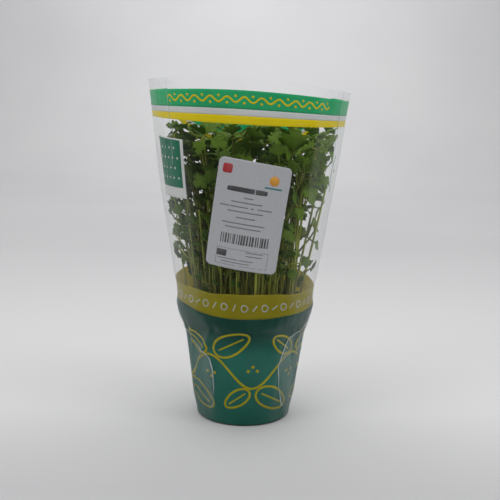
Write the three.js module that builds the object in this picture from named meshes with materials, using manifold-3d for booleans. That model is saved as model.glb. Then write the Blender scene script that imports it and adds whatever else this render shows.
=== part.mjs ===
// Flat-leaf parsley growing in a nursery pot, wrapped in a printed clear film sleeve.
// Millimetres, +Z up. The origin is on the ground under the middle of the pot, and the front faces -Y.

import * as THREE from "three";
import { mergeVertices } from "three/addons/utils/BufferGeometryUtils.js";
import Module from "manifold-3d";

const wasm = await Module();
wasm.setup();

// Pot: a thermoformed 12 cm nursery pot with a rolled rim and a raised floor
const ROUND_SIDES = 36;
const POT_HEIGHT = 106;
const POT_RIM_RADIUS = 60.2;
const POT_RIM_DEPTH = 9;
const POT_NECK_RADIUS = 54.4;
const POT_BASE_RADIUS = 41.8;
const POT_WALL = 1.6;
const POT_FLOOR = 2.6;
const DRAIN_HOLES = 6;
const DRAIN_RADIUS = 3.4;
const DRAIN_CIRCLE = 26;

// Soil: level below the rim, with one plain hole for each plant
const SOIL_TOP = 93;
const SOIL_GAP = 0.4;
const SOIL_LUMP = 1.0;
const HOLE_RADIUS = 3.5;
const HOLE_DEPTH = 16;

// Sleeve: half width and half depth of the film's outer face at each height
const SLEEVE_STATIONS = [
  { z: 0.8, halfWidth: 43.0, halfDepth: 43.0 },
  { z: 40, halfWidth: 48.2, halfDepth: 48.2 },
  { z: 80, halfWidth: 54.2, halfDepth: 54.2 },
  { z: 91, halfWidth: 58.6, halfDepth: 58.6 },
  { z: 97, halfWidth: 61.6, halfDepth: 61.6 },
  { z: 108, halfWidth: 62.0, halfDepth: 62.0 },
  { z: 130, halfWidth: 65.4, halfDepth: 61.6 },
  { z: 165, halfWidth: 70.8, halfDepth: 61.6 },
  { z: 205, halfWidth: 76.2, halfDepth: 61.6 },
  { z: 245, halfWidth: 81.4, halfDepth: 61.6 },
  { z: 280, halfWidth: 86.0, halfDepth: 61.6 },
  { z: 306, halfWidth: 89.5, halfDepth: 61.6 },
];
const FILM = 0.6;
const MOUTH_BACK_DROP = 36;
const MOUTH_BACK_START = 0.5;
const MOUTH_SIDE_DROP = 6;
const MOUTH_SIDE_TILT = 4.5;

// Sticker on the front of the sleeve
const LABEL_WIDTH = 62;
const LABEL_HEIGHT = 94;
const LABEL_THICKNESS = 0.4;
const LABEL_MIDDLE_Z = 195;
const LABEL_TILT = (8 * Math.PI) / 180;
const LABEL_GAP = 0.35;
const LABEL_CORNER_WIDTH = 0.97;
const LABEL_CORNER_HEIGHT = 0.98;

// Parsley: each plant has one crown in the soil and up to three leafy stems.
// Heights and leaflet lengths are in mm, reach in half widths of the sleeve, swing in radians, pitch in degrees.
const PLANTS = 14;
const BED_RADIUS = 40;
const GOLDEN_ANGLE = Math.PI * (3 - Math.sqrt(5));
const STEM_RANKS = [
  { lowest: 212, highest: 248, reach: [0.05, 0.74], swing: 0, leaflet: 28, pitch: [-10, 75] },
  { lowest: 176, highest: 232, reach: [0.4, 0.8], swing: 0.9, leaflet: 26, pitch: [-25, 65] },
  { lowest: 124, highest: 176, reach: [0.6, 0.82], swing: -0.9, leaflet: 19, pitch: [-30, 40] },
];
const LARGEST_REACH = 0.83;

// Stems
const CROWN_RADII = [1.0, 2.4, 1.7];
const CROWN_SIDES = 6;
const FOOT_CIRCLE = 1.0;
const FOOT_TURN = 2.1;
const FOOT_DEPTH = 3;
const STEM_STEPS = 5;
const STEM_SIDES = 5;
const STEM_FOOT_RADIUS = 1.3;
const STEM_TIP_RADIUS = 0.85;
const STEM_SUNK = 0.8;
const KNEE_OUT = 0.15;
const KNEE_UP = 0.55;

// Leaves: three leaflets on short stalks
const LEAF_THICKNESS = 0.7;
const STALK_HALF = 1.0;
const TERMINAL_STALK = 12;
const SIDE_STALK = 5;
const SIDE_ANGLE = (80 * Math.PI) / 180;
const SIDE_SIZE = 0.86;
const SMALLEST_DROOP = 0.1;
const LARGEST_DROOP = 0.35;
const SMALLEST_FOLD = 0.08;
const LARGEST_FOLD = 0.28;

// Growing: a stem is drawn again, with wider limits and smaller leaves each time, until it has room
const TRIES = 400;
const SEED = 23;
const HEADING_SPREAD = [1.3, 5.5];
const REACH_SPREAD = [0.3, 0.8];
const YAW_SPREAD = 2.6;
const ROLL_SPREAD = 1.6;
const LEAF_CLEARANCE = 4.4;
const FEELER_SHARES = [0.3, 0.65, 1];
const STALK_SHARES = [0.35, 0.7];
const STEM_FEELER_STEP = 3;
const LEAF_LOWEST = 111;
const LEAF_HIGHEST = 272;
const FILM_MARGIN = 2.2;
const SOFT_EDGE = 0.86;
const LARGEST_OVERREACH = 1.1;

// Half outline of a leaflet from tip to base, in leaflet lengths: along the rib, then across
const LOBES = [
  [0.8, 0.25],
  [0.61, 0.19],
  [0.63, 0.44],
  [0.48, 0.36],
  [0.34, 0.45],
];
const FAN_CENTRE = 0.45;

const { lerp, degToRad, smoothstep } = THREE.MathUtils;

function material(color, roughness) {
  return new THREE.MeshStandardMaterial({ color, roughness, metalness: 0 });
}

const materials = {
  pot: material(0x23282a, 0.5),
  soil: material(0x2b1d13, 0.95),
  sleeve: material(0x1c7a5a, 0.25),
  label: material(0xd9dadc, 0.5),
  parsley: material(0x3f6b1c, 0.6),
};

// Turns a closed geometry into a solid for joining and cutting
function solidOf(geometry) {
  const bare = geometry.clone();
  bare.deleteAttribute("normal");
  bare.deleteAttribute("uv");
  const merged = mergeVertices(bare, 1e-4);
  return new wasm.Manifold(
    new wasm.Mesh({
      numProp: 3,
      vertProperties: merged.attributes.position.array,
      triVerts: new Uint32Array(merged.index.array),
    }),
  );
}

function geometryOf(solid) {
  const mesh = solid.getMesh();
  const geometry = new THREE.BufferGeometry();
  geometry.setAttribute("position", new THREE.BufferAttribute(mesh.vertProperties, 3));
  geometry.setIndex(new THREE.BufferAttribute(mesh.triVerts, 1));
  geometry.computeVertexNormals();
  return geometry;
}

function meshOf(name, geometry, finish) {
  const mesh = new THREE.Mesh(geometry, finish);
  mesh.name = name;
  return mesh;
}

// A lathe round +Z from [radius, height] pairs
function turned(profile, sides) {
  const points = profile.map(([r, z]) => new THREE.Vector2(r, z));
  return new THREE.LatheGeometry(points, sides).rotateX(Math.PI / 2);
}

function upright(radius, height, sides, x, y, z) {
  return new THREE.CylinderGeometry(radius, radius, height, sides)
    .rotateX(Math.PI / 2)
    .translate(x, y, z);
}

// A closed tapered rod through points that mostly climb, with a ring of sides at each one
function rod(points, radii, sides) {
  const vertices = [];
  const triangles = [];
  let across = new THREE.Vector3(1, 0, 0);
  points.forEach((point, i) => {
    const before = points[Math.max(i - 1, 0)];
    const after = points[Math.min(i + 1, points.length - 1)];
    const along = after.clone().sub(before).normalize();
    across = across.clone().addScaledVector(along, -across.dot(along)).normalize();
    const third = along.clone().cross(across);
    for (let k = 0; k < sides; k += 1) {
      const turn = (2 * Math.PI * k) / sides;
      vertices.push(
        point
          .clone()
          .addScaledVector(across, radii[i] * Math.cos(turn))
          .addScaledVector(third, radii[i] * Math.sin(turn)),
      );
    }
  });
  for (let i = 0; i < points.length - 1; i += 1) {
    for (let k = 0; k < sides; k += 1) {
      const a = i * sides + k;
      const b = i * sides + ((k + 1) % sides);
      triangles.push(a, b, b + sides, a, b + sides, a + sides);
    }
  }
  const last = (points.length - 1) * sides;
  for (let k = 1; k < sides - 1; k += 1) {
    triangles.push(0, k + 1, k, last, last + k, last + k + 1);
  }
  return new THREE.BufferGeometry().setFromPoints(vertices).setIndex(triangles);
}

// A closed plate: a triangulated sheet thickened to both sides along its vertex normals
function plate(points, triangles, thickness) {
  const sheet = new THREE.BufferGeometry().setFromPoints(points).setIndex(triangles.flat());
  sheet.computeVertexNormals();
  const normals = sheet.getAttribute("normal");
  const offset = (side) =>
    points.map((p, i) =>
      p.clone().addScaledVector(new THREE.Vector3().fromBufferAttribute(normals, i), side * thickness * 0.5),
    );
  const count = points.length;
  const faces = [];
  const edges = new Set(triangles.flatMap(([a, b, c]) => [`${a},${b}`, `${b},${c}`, `${c},${a}`]));
  triangles.forEach(([a, b, c]) => {
    faces.push(a, b, c, count + c, count + b, count + a);
    [
      [a, b],
      [b, c],
      [c, a],
    ].forEach(([from, to]) => {
      if (!edges.has(`${to},${from}`)) faces.push(to, from, count + from, to, count + from, count + to);
    });
  });
  return new THREE.BufferGeometry().setFromPoints([...offset(1), ...offset(-1)]).setIndex(faces);
}

// Half width and half depth of the sleeve's outer face at a height
function sleeveSize(z) {
  const next = Math.max(
    1,
    SLEEVE_STATIONS.findIndex((s) => s.z >= z),
  );
  const low = SLEEVE_STATIONS[next - 1];
  const high = SLEEVE_STATIONS[next];
  const share = (z - low.z) / (high.z - low.z);
  return {
    width: lerp(low.halfWidth, high.halfWidth, share),
    depth: lerp(low.halfDepth, high.halfDepth, share),
  };
}

// The mouth is low at the back and a little lower at its sides, most at the right.
// This fades out down to the rim.
function mouthDrop(z, angle) {
  const top = SLEEVE_STATIONS[SLEEVE_STATIONS.length - 1].z;
  const share = Math.max(0, (z - POT_HEIGHT) / (top - POT_HEIGHT)) ** 2;
  const back = smoothstep(Math.sin(angle), MOUTH_BACK_START, 1);
  const side = Math.cos(angle);
  return share * (MOUTH_BACK_DROP * back + MOUTH_SIDE_DROP * side ** 2 + MOUTH_SIDE_TILT * side);
}

function makePot() {
  const neckZ = POT_HEIGHT - POT_RIM_DEPTH;
  const shell = turned(
    [
      [0, POT_FLOOR],
      [POT_BASE_RADIUS - 4, POT_FLOOR],
      [POT_BASE_RADIUS - 3, 0],
      [POT_BASE_RADIUS, 0],
      [POT_NECK_RADIUS, neckZ],
      [POT_RIM_RADIUS, neckZ],
      [POT_RIM_RADIUS, POT_HEIGHT],
      [POT_RIM_RADIUS - POT_WALL, POT_HEIGHT],
      [POT_RIM_RADIUS - POT_WALL, neckZ + POT_WALL],
      [POT_NECK_RADIUS - POT_WALL, neckZ + POT_WALL],
      [POT_BASE_RADIUS - POT_WALL, POT_FLOOR + POT_WALL],
      [0, POT_FLOOR + POT_WALL],
    ],
    ROUND_SIDES,
  );
  let pot = solidOf(shell);
  for (let i = 0; i < DRAIN_HOLES; i += 1) {
    const turn = (2 * Math.PI * i) / DRAIN_HOLES;
    const hole = upright(
      DRAIN_RADIUS,
      4 * POT_FLOOR,
      8,
      DRAIN_CIRCLE * Math.cos(turn),
      DRAIN_CIRCLE * Math.sin(turn),
      POT_FLOOR,
    );
    pot = pot.subtract(solidOf(hole));
  }
  return geometryOf(pot);
}

function crownPlace(plant) {
  const radius = BED_RADIUS * Math.sqrt((plant + 0.5) / PLANTS);
  const turn = plant * GOLDEN_ANGLE;
  return new THREE.Vector3(radius * Math.cos(turn), radius * Math.sin(turn), SOIL_TOP);
}

function makeSoil() {
  const bottom = POT_FLOOR + POT_WALL + SOIL_GAP;
  const slope = (POT_NECK_RADIUS - POT_BASE_RADIUS) / (POT_HEIGHT - POT_RIM_DEPTH - POT_FLOOR);
  const radiusAt = (z) => POT_BASE_RADIUS + slope * (z - POT_FLOOR - POT_WALL) - POT_WALL - SOIL_GAP;
  const rings = [0.75, 0.4].map((share) => [share * radiusAt(SOIL_TOP), SOIL_TOP]);
  const side = [[0, bottom], [radiusAt(bottom), bottom], [radiusAt(SOIL_TOP - 1), SOIL_TOP - 1]];
  const body = turned([...side, ...rings, [0, SOIL_TOP]], ROUND_SIDES);
  const spots = body.getAttribute("position");
  for (let i = 0; i < spots.count; i += 1) {
    const x = spots.getX(i);
    const y = spots.getY(i);
    if (spots.getZ(i) > SOIL_TOP - 0.5) {
      spots.setZ(i, SOIL_TOP + SOIL_LUMP * Math.sin(0.31 * x + 1) * Math.cos(0.27 * y));
    }
  }
  let soil = solidOf(body);
  for (let plant = 0; plant < PLANTS; plant += 1) {
    const { x, y } = crownPlace(plant);
    soil = soil.subtract(solidOf(upright(HOLE_RADIUS, 2 * HOLE_DEPTH, 6, x, y, SOIL_TOP)));
  }
  return geometryOf(soil);
}

// One closed film tube: rings of points up the outside and down the inside
function makeSleeve() {
  const outside = SLEEVE_STATIONS.map(({ z }) => ({ z, inset: 0 }));
  const inside = SLEEVE_STATIONS.map(({ z }) => ({ z, inset: FILM })).reverse();
  const rings = [...outside, ...inside];
  const points = [];
  const triangles = [];
  rings.forEach(({ z, inset }, ring) => {
    const { width, depth } = sleeveSize(z);
    const next = (ring + 1) % rings.length;
    for (let k = 0; k < ROUND_SIDES; k += 1) {
      const angle = (2 * Math.PI * k) / ROUND_SIDES;
      points.push(
        new THREE.Vector3(
          (width - inset) * Math.cos(angle),
          (depth - inset) * Math.sin(angle),
          z - mouthDrop(z, angle),
        ),
      );
      const beside = (k + 1) % ROUND_SIDES;
      const [a, b] = [ring * ROUND_SIDES + k, ring * ROUND_SIDES + beside];
      const [c, d] = [next * ROUND_SIDES + beside, next * ROUND_SIDES + k];
      triangles.push(a, b, c, a, c, d);
    }
  });
  return geometryOf(solidOf(new THREE.BufferGeometry().setFromPoints(points).setIndex(triangles)));
}

// A point on the sleeve's front, at an offset outside the film
function onSleeve(across, z, offset) {
  const { width, depth } = sleeveSize(z);
  const angle = across / width;
  return new THREE.Vector3((width + offset) * Math.sin(angle), -(depth + offset) * Math.cos(angle), z);
}

function makeLabel() {
  const sheet = new THREE.PlaneGeometry(LABEL_WIDTH, LABEL_HEIGHT, 6, 4);
  const spots = sheet.getAttribute("position");
  const points = [];
  for (let i = 0; i < spots.count; i += 1) {
    const atSide = Math.abs(spots.getX(i)) > 0.49 * LABEL_WIDTH;
    const atEnd = Math.abs(spots.getY(i)) > 0.49 * LABEL_HEIGHT;
    const x = spots.getX(i) * (atSide && atEnd ? LABEL_CORNER_WIDTH : 1);
    const y = spots.getY(i) * (atSide && atEnd ? LABEL_CORNER_HEIGHT : 1);
    const across = x * Math.cos(LABEL_TILT) + y * Math.sin(LABEL_TILT);
    const rise = y * Math.cos(LABEL_TILT) - x * Math.sin(LABEL_TILT);
    points.push(onSleeve(across, LABEL_MIDDLE_Z + rise, LABEL_GAP + LABEL_THICKNESS / 2));
  }
  const index = [...sheet.index.array];
  const triangles = [];
  for (let i = 0; i < index.length; i += 3) triangles.push(index.slice(i, i + 3));
  return plate(points, triangles, LABEL_THICKNESS);
}

// Random numbers from 0 to 1 that are the same on every run
function seeded(seed) {
  let state = seed;
  return () => {
    state = (state * 1664525 + 1013904223) % 4294967296;
    return state / 4294967296;
  };
}

function overreach(point) {
  const { width, depth } = sleeveSize(point.z);
  return Math.hypot(point.x / (width - FILM_MARGIN), point.y / (depth - FILM_MARGIN));
}

// Leaves that meet the film bend along it
function bentClear(point) {
  const reach = overreach(point);
  if (reach <= SOFT_EDGE) return point;
  const room = 1 - SOFT_EDGE;
  const kept = SOFT_EDGE + room * Math.tanh((reach - SOFT_EDGE) / room);
  return new THREE.Vector3((point.x * kept) / reach, (point.y * kept) / reach, point.z);
}

// One leafy stem's shape. Strain goes from 0 to 1 as the tries for it run out.
function drawStem(plant, rank, strain, random) {
  const { lowest, highest, reach, swing, leaflet, pitch } = STEM_RANKS[rank];
  const crown = crownPlace(plant);
  const outward = Math.hypot(crown.x, crown.y) / BED_RADIUS;
  const spread = (amount) => (random() - 0.5) * amount;
  const heading = Math.atan2(crown.y, crown.x) + swing + spread(lerp(...HEADING_SPREAD, strain));
  const z = lerp(lowest, highest, random());
  const { width, depth } = sleeveSize(z);
  const out = Math.min(lerp(...reach, outward) + spread(lerp(...REACH_SPREAD, strain)), LARGEST_REACH);
  const end = new THREE.Vector3(out * width * Math.cos(heading), out * depth * Math.sin(heading), z);
  const yaw = heading + spread(YAW_SPREAD);
  const tilt = degToRad(lerp(...pitch, random()));
  const roll = spread(ROLL_SPREAD);
  const size = leaflet * lerp(0.85, 1.15, random()) * (1 - 0.35 * strain);
  const droop = lerp(SMALLEST_DROOP, LARGEST_DROOP, random());
  const fold = lerp(SMALLEST_FOLD, LARGEST_FOLD, random());
  const footTurn = heading + rank * FOOT_TURN;
  const foot = new THREE.Vector3(
    crown.x + FOOT_CIRCLE * Math.cos(footTurn),
    crown.y + FOOT_CIRCLE * Math.sin(footTurn),
    SOIL_TOP - FOOT_DEPTH,
  );
  const knee = foot.clone().lerp(end, KNEE_OUT).setZ(lerp(foot.z, end.z, KNEE_UP));
  const axis = new THREE.Vector3(
    Math.cos(tilt) * Math.cos(yaw),
    Math.cos(tilt) * Math.sin(yaw),
    Math.sin(tilt),
  );
  const level = new THREE.Vector3(-Math.sin(yaw), Math.cos(yaw), 0);
  const above = axis.clone().cross(level);
  const side = level.clone().multiplyScalar(Math.cos(roll)).addScaledVector(above, Math.sin(roll));
  const leaflets = [
    { turn: 0, stalk: TERMINAL_STALK, length: size },
    { turn: SIDE_ANGLE, stalk: SIDE_STALK, length: size * SIDE_SIZE },
    { turn: -SIDE_ANGLE, stalk: SIDE_STALK, length: size * SIDE_SIZE },
  ].map(({ turn, stalk, length }) => {
    const along = axis.clone().multiplyScalar(Math.cos(turn)).addScaledVector(side, Math.sin(turn));
    const across = side.clone().multiplyScalar(Math.cos(turn)).addScaledVector(axis, -Math.sin(turn));
    return { base: end.clone().addScaledVector(along, stalk), along, across, length, droop, fold };
  });
  return { plant, curve: new THREE.QuadraticBezierCurve3(foot, knee, end), leaflets };
}

// A point of a leaflet: u runs along the rib and v across it, in leaflet lengths
function leafletPoint({ base, along, across, length, droop, fold }, u, v) {
  const above = along.clone().cross(across);
  const rise = fold * Math.abs(v) - droop * u * u;
  return bentClear(
    base
      .clone()
      .addScaledVector(along, u * length)
      .addScaledVector(across, v * length)
      .addScaledVector(above, rise * length),
  );
}

// The whole outline, anticlockwise from the tip
function leafletOutline() {
  const right = LOBES.map(([u, v]) => [u, -v]).reverse();
  return [[1, 0], ...LOBES, [0, 0], ...right];
}

// Points spread over a leafy stem, close enough to feel for other leaves
function feelers({ curve, leaflets }) {
  const outline = leafletOutline();
  const blade = [];
  leaflets.forEach((leaflet) => {
    outline.forEach(([u, v], i) => {
      const [nextU, nextV] = outline[(i + 1) % outline.length];
      const middle = [(u + nextU) / 2, (v + nextV) / 2];
      [[u, v], middle].forEach(([rimU, rimV]) => {
        FEELER_SHARES.forEach((share) => {
          blade.push(leafletPoint(leaflet, lerp(FAN_CENTRE, rimU, share), share * rimV));
        });
      });
    });
    STALK_SHARES.forEach((share) => blade.push(curve.v2.clone().lerp(leaflet.base, share)));
  });
  const steps = Math.ceil((curve.v2.z - curve.v0.z) / STEM_FEELER_STEP);
  const stalk = Array.from({ length: steps - 1 }, (_, i) => curve.getPoint((i + 1) / steps));
  return { blade, stalk };
}

// Remembers where stems and leaves are, in a grid of cells as wide as the clearance
class Thicket {
  constructor() {
    this.cells = new Map();
  }

  cell(point, x = 0, y = 0, z = 0) {
    const [i, j, k] = [point.x, point.y, point.z].map((c) => Math.floor(c / LEAF_CLEARANCE));
    return (i + x + 64) * 65536 + (j + y + 64) * 256 + (k + z);
  }

  add(point, plant, isStalk) {
    const key = this.cell(point);
    if (!this.cells.has(key)) this.cells.set(key, []);
    this.cells.get(key).push({ point, plant, isStalk });
  }

  touches(point, plant, isStalk) {
    for (let x = -1; x <= 1; x += 1) {
      for (let y = -1; y <= 1; y += 1) {
        for (let z = -1; z <= 1; z += 1) {
          const near = this.cells.get(this.cell(point, x, y, z)) || [];
          const hit = near.some(
            (other) =>
              !(isStalk && other.isStalk && other.plant === plant) &&
              other.point.distanceTo(point) < LEAF_CLEARANCE,
          );
          if (hit) return true;
        }
      }
    }
    return false;
  }
}

function leafletTip({ base, along, length }) {
  return base.clone().addScaledVector(along, length);
}

// Whether a stem's leaves stay inside the sleeve and clear of all the stems before it
function hasRoom(stem, blade, stalk, thicket) {
  return (
    blade.every((p) => p.z > LEAF_LOWEST && p.z < LEAF_HIGHEST) &&
    stem.leaflets.every((leaflet) => overreach(leafletTip(leaflet)) < LARGEST_OVERREACH) &&
    blade.every((p) => !thicket.touches(p, stem.plant, false)) &&
    stalk.every((p) => !thicket.touches(p, stem.plant, true))
  );
}

// Grows the tall stems first, then the middle and low ones, each where it is clear of the rest
function growStems() {
  const random = seeded(SEED);
  const thicket = new Thicket();
  const stems = [];
  for (let rank = 0; rank < STEM_RANKS.length; rank += 1) {
    for (let plant = 0; plant < PLANTS; plant += 1) {
      for (let attempt = 0; attempt < TRIES; attempt += 1) {
        const stem = drawStem(plant, rank, attempt / TRIES, random);
        const { blade, stalk } = feelers(stem);
        if (hasRoom(stem, blade, stalk, thicket)) {
          blade.forEach((p) => thicket.add(p, plant, false));
          stalk.forEach((p) => thicket.add(p, plant, true));
          stems.push(stem);
          break;
        }
      }
    }
  }
  return stems;
}

// One leaf as a single plate: three lobed leaflets whose stalks meet in a small square at the stem's end.
// The leaflets come in the order terminal, left, right.
function leafPlate({ leaflets, curve }) {
  const { along, across } = leaflets[0];
  const corner = (a, c) => {
    const spot = curve.v2.clone().addScaledVector(along, a * STALK_HALF);
    return bentClear(spot.addScaledVector(across, c * STALK_HALF));
  };
  const points = [corner(1, -1), corner(1, 1), corner(-1, 1), corner(-1, -1)];
  const triangles = [
    [0, 1, 2],
    [0, 2, 3],
  ];
  const sides = [
    [0, 1],
    [1, 2],
    [3, 0],
  ];
  leaflets.forEach((leaflet, k) => {
    const half = STALK_HALF / leaflet.length;
    const right = LOBES.map(([u, v]) => [u, -v]).reverse();
    const rim = [[1, 0], ...LOBES, [0, half], [0, -half], ...right];
    const centre = points.length;
    points.push(...[[FAN_CENTRE, 0], ...rim].map(([u, v]) => leafletPoint(leaflet, u, v)));
    rim.forEach((_, i) => triangles.push([centre, centre + 1 + i, centre + 1 + ((i + 1) % rim.length)]));
    const baseLeft = centre + 2 + LOBES.length;
    const [sideRight, sideLeft] = sides[k];
    triangles.push([sideRight, baseLeft + 1, baseLeft], [sideRight, baseLeft, sideLeft]);
  });
  return plate(points, triangles, LEAF_THICKNESS);
}

function makePlant(plant, stems) {
  const crown = crownPlace(plant);
  const heights = [SOIL_TOP + 2 - HOLE_DEPTH, SOIL_TOP - FOOT_DEPTH, SOIL_TOP + 4];
  let solid = solidOf(rod(heights.map((z) => crown.clone().setZ(z)), CROWN_RADII, CROWN_SIDES));
  stems.forEach((stem) => {
    const points = stem.curve.getPoints(STEM_STEPS);
    points[STEM_STEPS].addScaledVector(stem.curve.getTangent(1), STEM_SUNK);
    const radii = points.map((_, i) => lerp(STEM_FOOT_RADIUS, STEM_TIP_RADIUS, i / STEM_STEPS));
    solid = solid.add(solidOf(rod(points, radii, STEM_SIDES))).add(solidOf(leafPlate(stem)));
  });
  return geometryOf(solid);
}

function makeModel() {
  const model = new THREE.Group();
  model.add(meshOf("pot", makePot(), materials.pot));
  model.add(meshOf("soil", makeSoil(), materials.soil));
  model.add(meshOf("sleeve", makeSleeve(), materials.sleeve));
  model.add(meshOf("label", makeLabel(), materials.label));
  const stems = growStems();
  for (let plant = 0; plant < PLANTS; plant += 1) {
    const own = stems.filter((stem) => stem.plant === plant);
    const number = String(plant + 1).padStart(2, "0");
    model.add(meshOf(`parsley_plant_${number}`, makePlant(plant, own), materials.parsley));
  }
  return model;
}

export default makeModel();
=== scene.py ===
# Looks of a potted flat-leaf parsley in a printed clear film sleeve.
# Shapes are worked out in millimetres, as in the part's source.
# They are scaled to metres when a piece is finished.

import math

import bmesh
import bpy
import numpy as np
from mathutils import Matrix, Vector, noise


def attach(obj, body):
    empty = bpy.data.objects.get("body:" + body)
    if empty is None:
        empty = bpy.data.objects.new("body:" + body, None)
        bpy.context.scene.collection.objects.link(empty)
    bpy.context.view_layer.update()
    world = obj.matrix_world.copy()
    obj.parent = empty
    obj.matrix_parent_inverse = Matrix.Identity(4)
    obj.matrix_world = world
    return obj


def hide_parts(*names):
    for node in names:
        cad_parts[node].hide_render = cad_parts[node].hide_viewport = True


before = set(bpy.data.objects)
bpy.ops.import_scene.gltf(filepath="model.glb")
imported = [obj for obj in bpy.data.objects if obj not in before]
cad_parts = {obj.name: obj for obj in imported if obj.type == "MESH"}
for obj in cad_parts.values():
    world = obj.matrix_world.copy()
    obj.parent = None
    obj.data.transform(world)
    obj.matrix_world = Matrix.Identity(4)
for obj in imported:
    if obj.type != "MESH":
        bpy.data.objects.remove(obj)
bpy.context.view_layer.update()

METRES = 0.001
TURN = 2 * math.pi

# Camera: fitted to the silhouette in the photograph, in metres and degrees
CAMERA_PLACE = (0.0036, -0.8, 0.307)
CAMERA_DOWN = 10.9
CAMERA_ROLL = 1.2
CAMERA_LENS = 64.4

# Pot and soil
POT_HEIGHT = 106
POT_RIM_RADIUS = 60.2
POT_RIM_DEPTH = 9
POT_NECK_RADIUS = 54.4
POT_BASE_RADIUS = 41.8
POT_WALL = 1.6
POT_FLOOR = 2.6
DRAIN_HOLES = 6
DRAIN_RADIUS = 3.4
DRAIN_CIRCLE = 26
SOIL_TOP = 93
SOIL_GAP = 0.4

# Sleeve: half width and half depth of the film's outer face at each height
STATION_Z = [0.8, 40, 80, 91, 97, 108, 130, 165, 205, 245, 280, 306]
STATION_WIDTH = [43.0, 48.2, 54.2, 58.6, 61.6, 62.0, 65.4, 70.8, 76.2, 81.4, 86.0, 89.5]
STATION_DEPTH = [43.0, 48.2, 54.2, 58.6, 61.6, 62.0, 61.6, 61.6, 61.6, 61.6, 61.6, 61.6]
SLEEVE_BOTTOM = STATION_Z[0]
SLEEVE_TOP = STATION_Z[-1]
# How much lower the mouth is at the back, where the angle's sine is above the start, and at the sides,
# which drop more at the right
MOUTH_BACK_DROP = 36
MOUTH_BACK_START = 0.5
MOUTH_SIDE_DROP = 6
MOUTH_SIDE_TILT = 4.5
FILM_THICKNESS = 0.1
# How far bands and finer marks lie inside the film's face
INK_INSET = 0.3
MARK_INSET = 0.2
INK_THICKNESS = 0.05

# Sticker
LABEL_WIDTH = 62
LABEL_HEIGHT = 92.5
LABEL_MIDDLE_X = 1.5
LABEL_MIDDLE_Z = 193
LABEL_TILT = math.radians(8)
LABEL_CORNER = 4.5
LABEL_LIFT = 0.5
LABEL_THICKNESS = 0.2

# Parsley: the same growing rule as in the part's source, so that each plant keeps its form
PLANTS = 14
BED_RADIUS = 40
GOLDEN_ANGLE = math.pi * (3 - math.sqrt(5))
STEM_RANKS = [
    {"lowest": 212, "highest": 248, "reach": (0.05, 0.74), "swing": 0, "leaflet": 28, "pitch": (-10, 75)},
    {"lowest": 176, "highest": 232, "reach": (0.4, 0.8), "swing": 0.9, "leaflet": 26, "pitch": (-25, 65)},
    {"lowest": 124, "highest": 176, "reach": (0.6, 0.82), "swing": -0.9, "leaflet": 19, "pitch": (-30, 40)},
]
LARGEST_REACH = 0.83
FOOT_CIRCLE = 1.0
FOOT_TURN = 2.1
FOOT_DEPTH = 3
HOLE_DEPTH = 16
STEM_FOOT_RADIUS = 1.3
STEM_TIP_RADIUS = 0.85
KNEE_OUT = 0.15
KNEE_UP = 0.55
TERMINAL_STALK = 12
SIDE_STALK = 5
SIDE_ANGLE = math.radians(80)
SIDE_SIZE = 0.86
DROOP = (0.1, 0.35)
FOLD = (0.08, 0.28)
TRIES = 400
SEED = 23
HEADING_SPREAD = (1.3, 5.5)
REACH_SPREAD = (0.3, 0.8)
YAW_SPREAD = 2.6
ROLL_SPREAD = 1.6
SIZE_SPREAD = (0.85, 1.15)
STRAIN_SHRINK = 0.35
LEAF_CLEARANCE = 4.4
FEELER_SHARES = (0.3, 0.65, 1)
STALK_SHARES = (0.35, 0.7)
STEM_FEELER_STEP = 3
LEAF_LOWEST = 111
LEAF_HIGHEST = 272
FILM_MARGIN = 2.2
SOFT_EDGE = 0.86
LARGEST_OVERREACH = 1.1

# A leaflet's half outline without its teeth, from tip to base, in leaflet lengths
LOBES = [(0.8, 0.25), (0.61, 0.19), (0.63, 0.44), (0.48, 0.36), (0.34, 0.45)]
FAN_CENTRE = 0.45

# The same half outline with its teeth, from tip to base, in leaflet lengths
TOOTHED_EDGE = [
    (0.955, 0.045),
    (0.905, 0.075),
    (0.91, 0.135),
    (0.865, 0.2),
    (0.8, 0.25),
    (0.745, 0.225),
    (0.67, 0.17),
    (0.61, 0.185),
    (0.645, 0.265),
    (0.66, 0.35),
    (0.63, 0.44),
    (0.575, 0.425),
    (0.54, 0.375),
    (0.48, 0.355),
    (0.475, 0.42),
    (0.41, 0.47),
    (0.34, 0.45),
    (0.27, 0.345),
    (0.18, 0.2),
    (0.08, 0.07),
]
LEAF_RINGS = 3
LEAF_THICKNESS = 0.35
# The blade's ripples and cupping, in leaflet lengths
RIPPLES = 5
RIPPLE_HEIGHT = 0.035
CUP_HEIGHT = 0.03

# Seedlings that fill the sleeve between the fourteen plants
SEEDLING_RANKS = [
    {"count": 125, "lowest": 206, "highest": 260, "reach": (0.1, 0.97), "leaflet": 23, "pitch": (-30, 60)},
    {"count": 110, "lowest": 180, "highest": 225, "reach": (0.3, 0.97), "leaflet": 20, "pitch": (-30, 60)},
    {"count": 52, "lowest": 138, "highest": 180, "reach": (0.3, 0.95), "leaflet": 12, "pitch": (-30, 50)},
    {"count": 46, "lowest": 196, "highest": 258, "reach": (0.5, 0.97), "leaflet": 19, "pitch": (-30, 60)},
    {"count": 56, "lowest": 176, "highest": 250, "reach": (0.5, 0.97), "leaflet": 18, "pitch": (-30, 60)},
]
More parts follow.
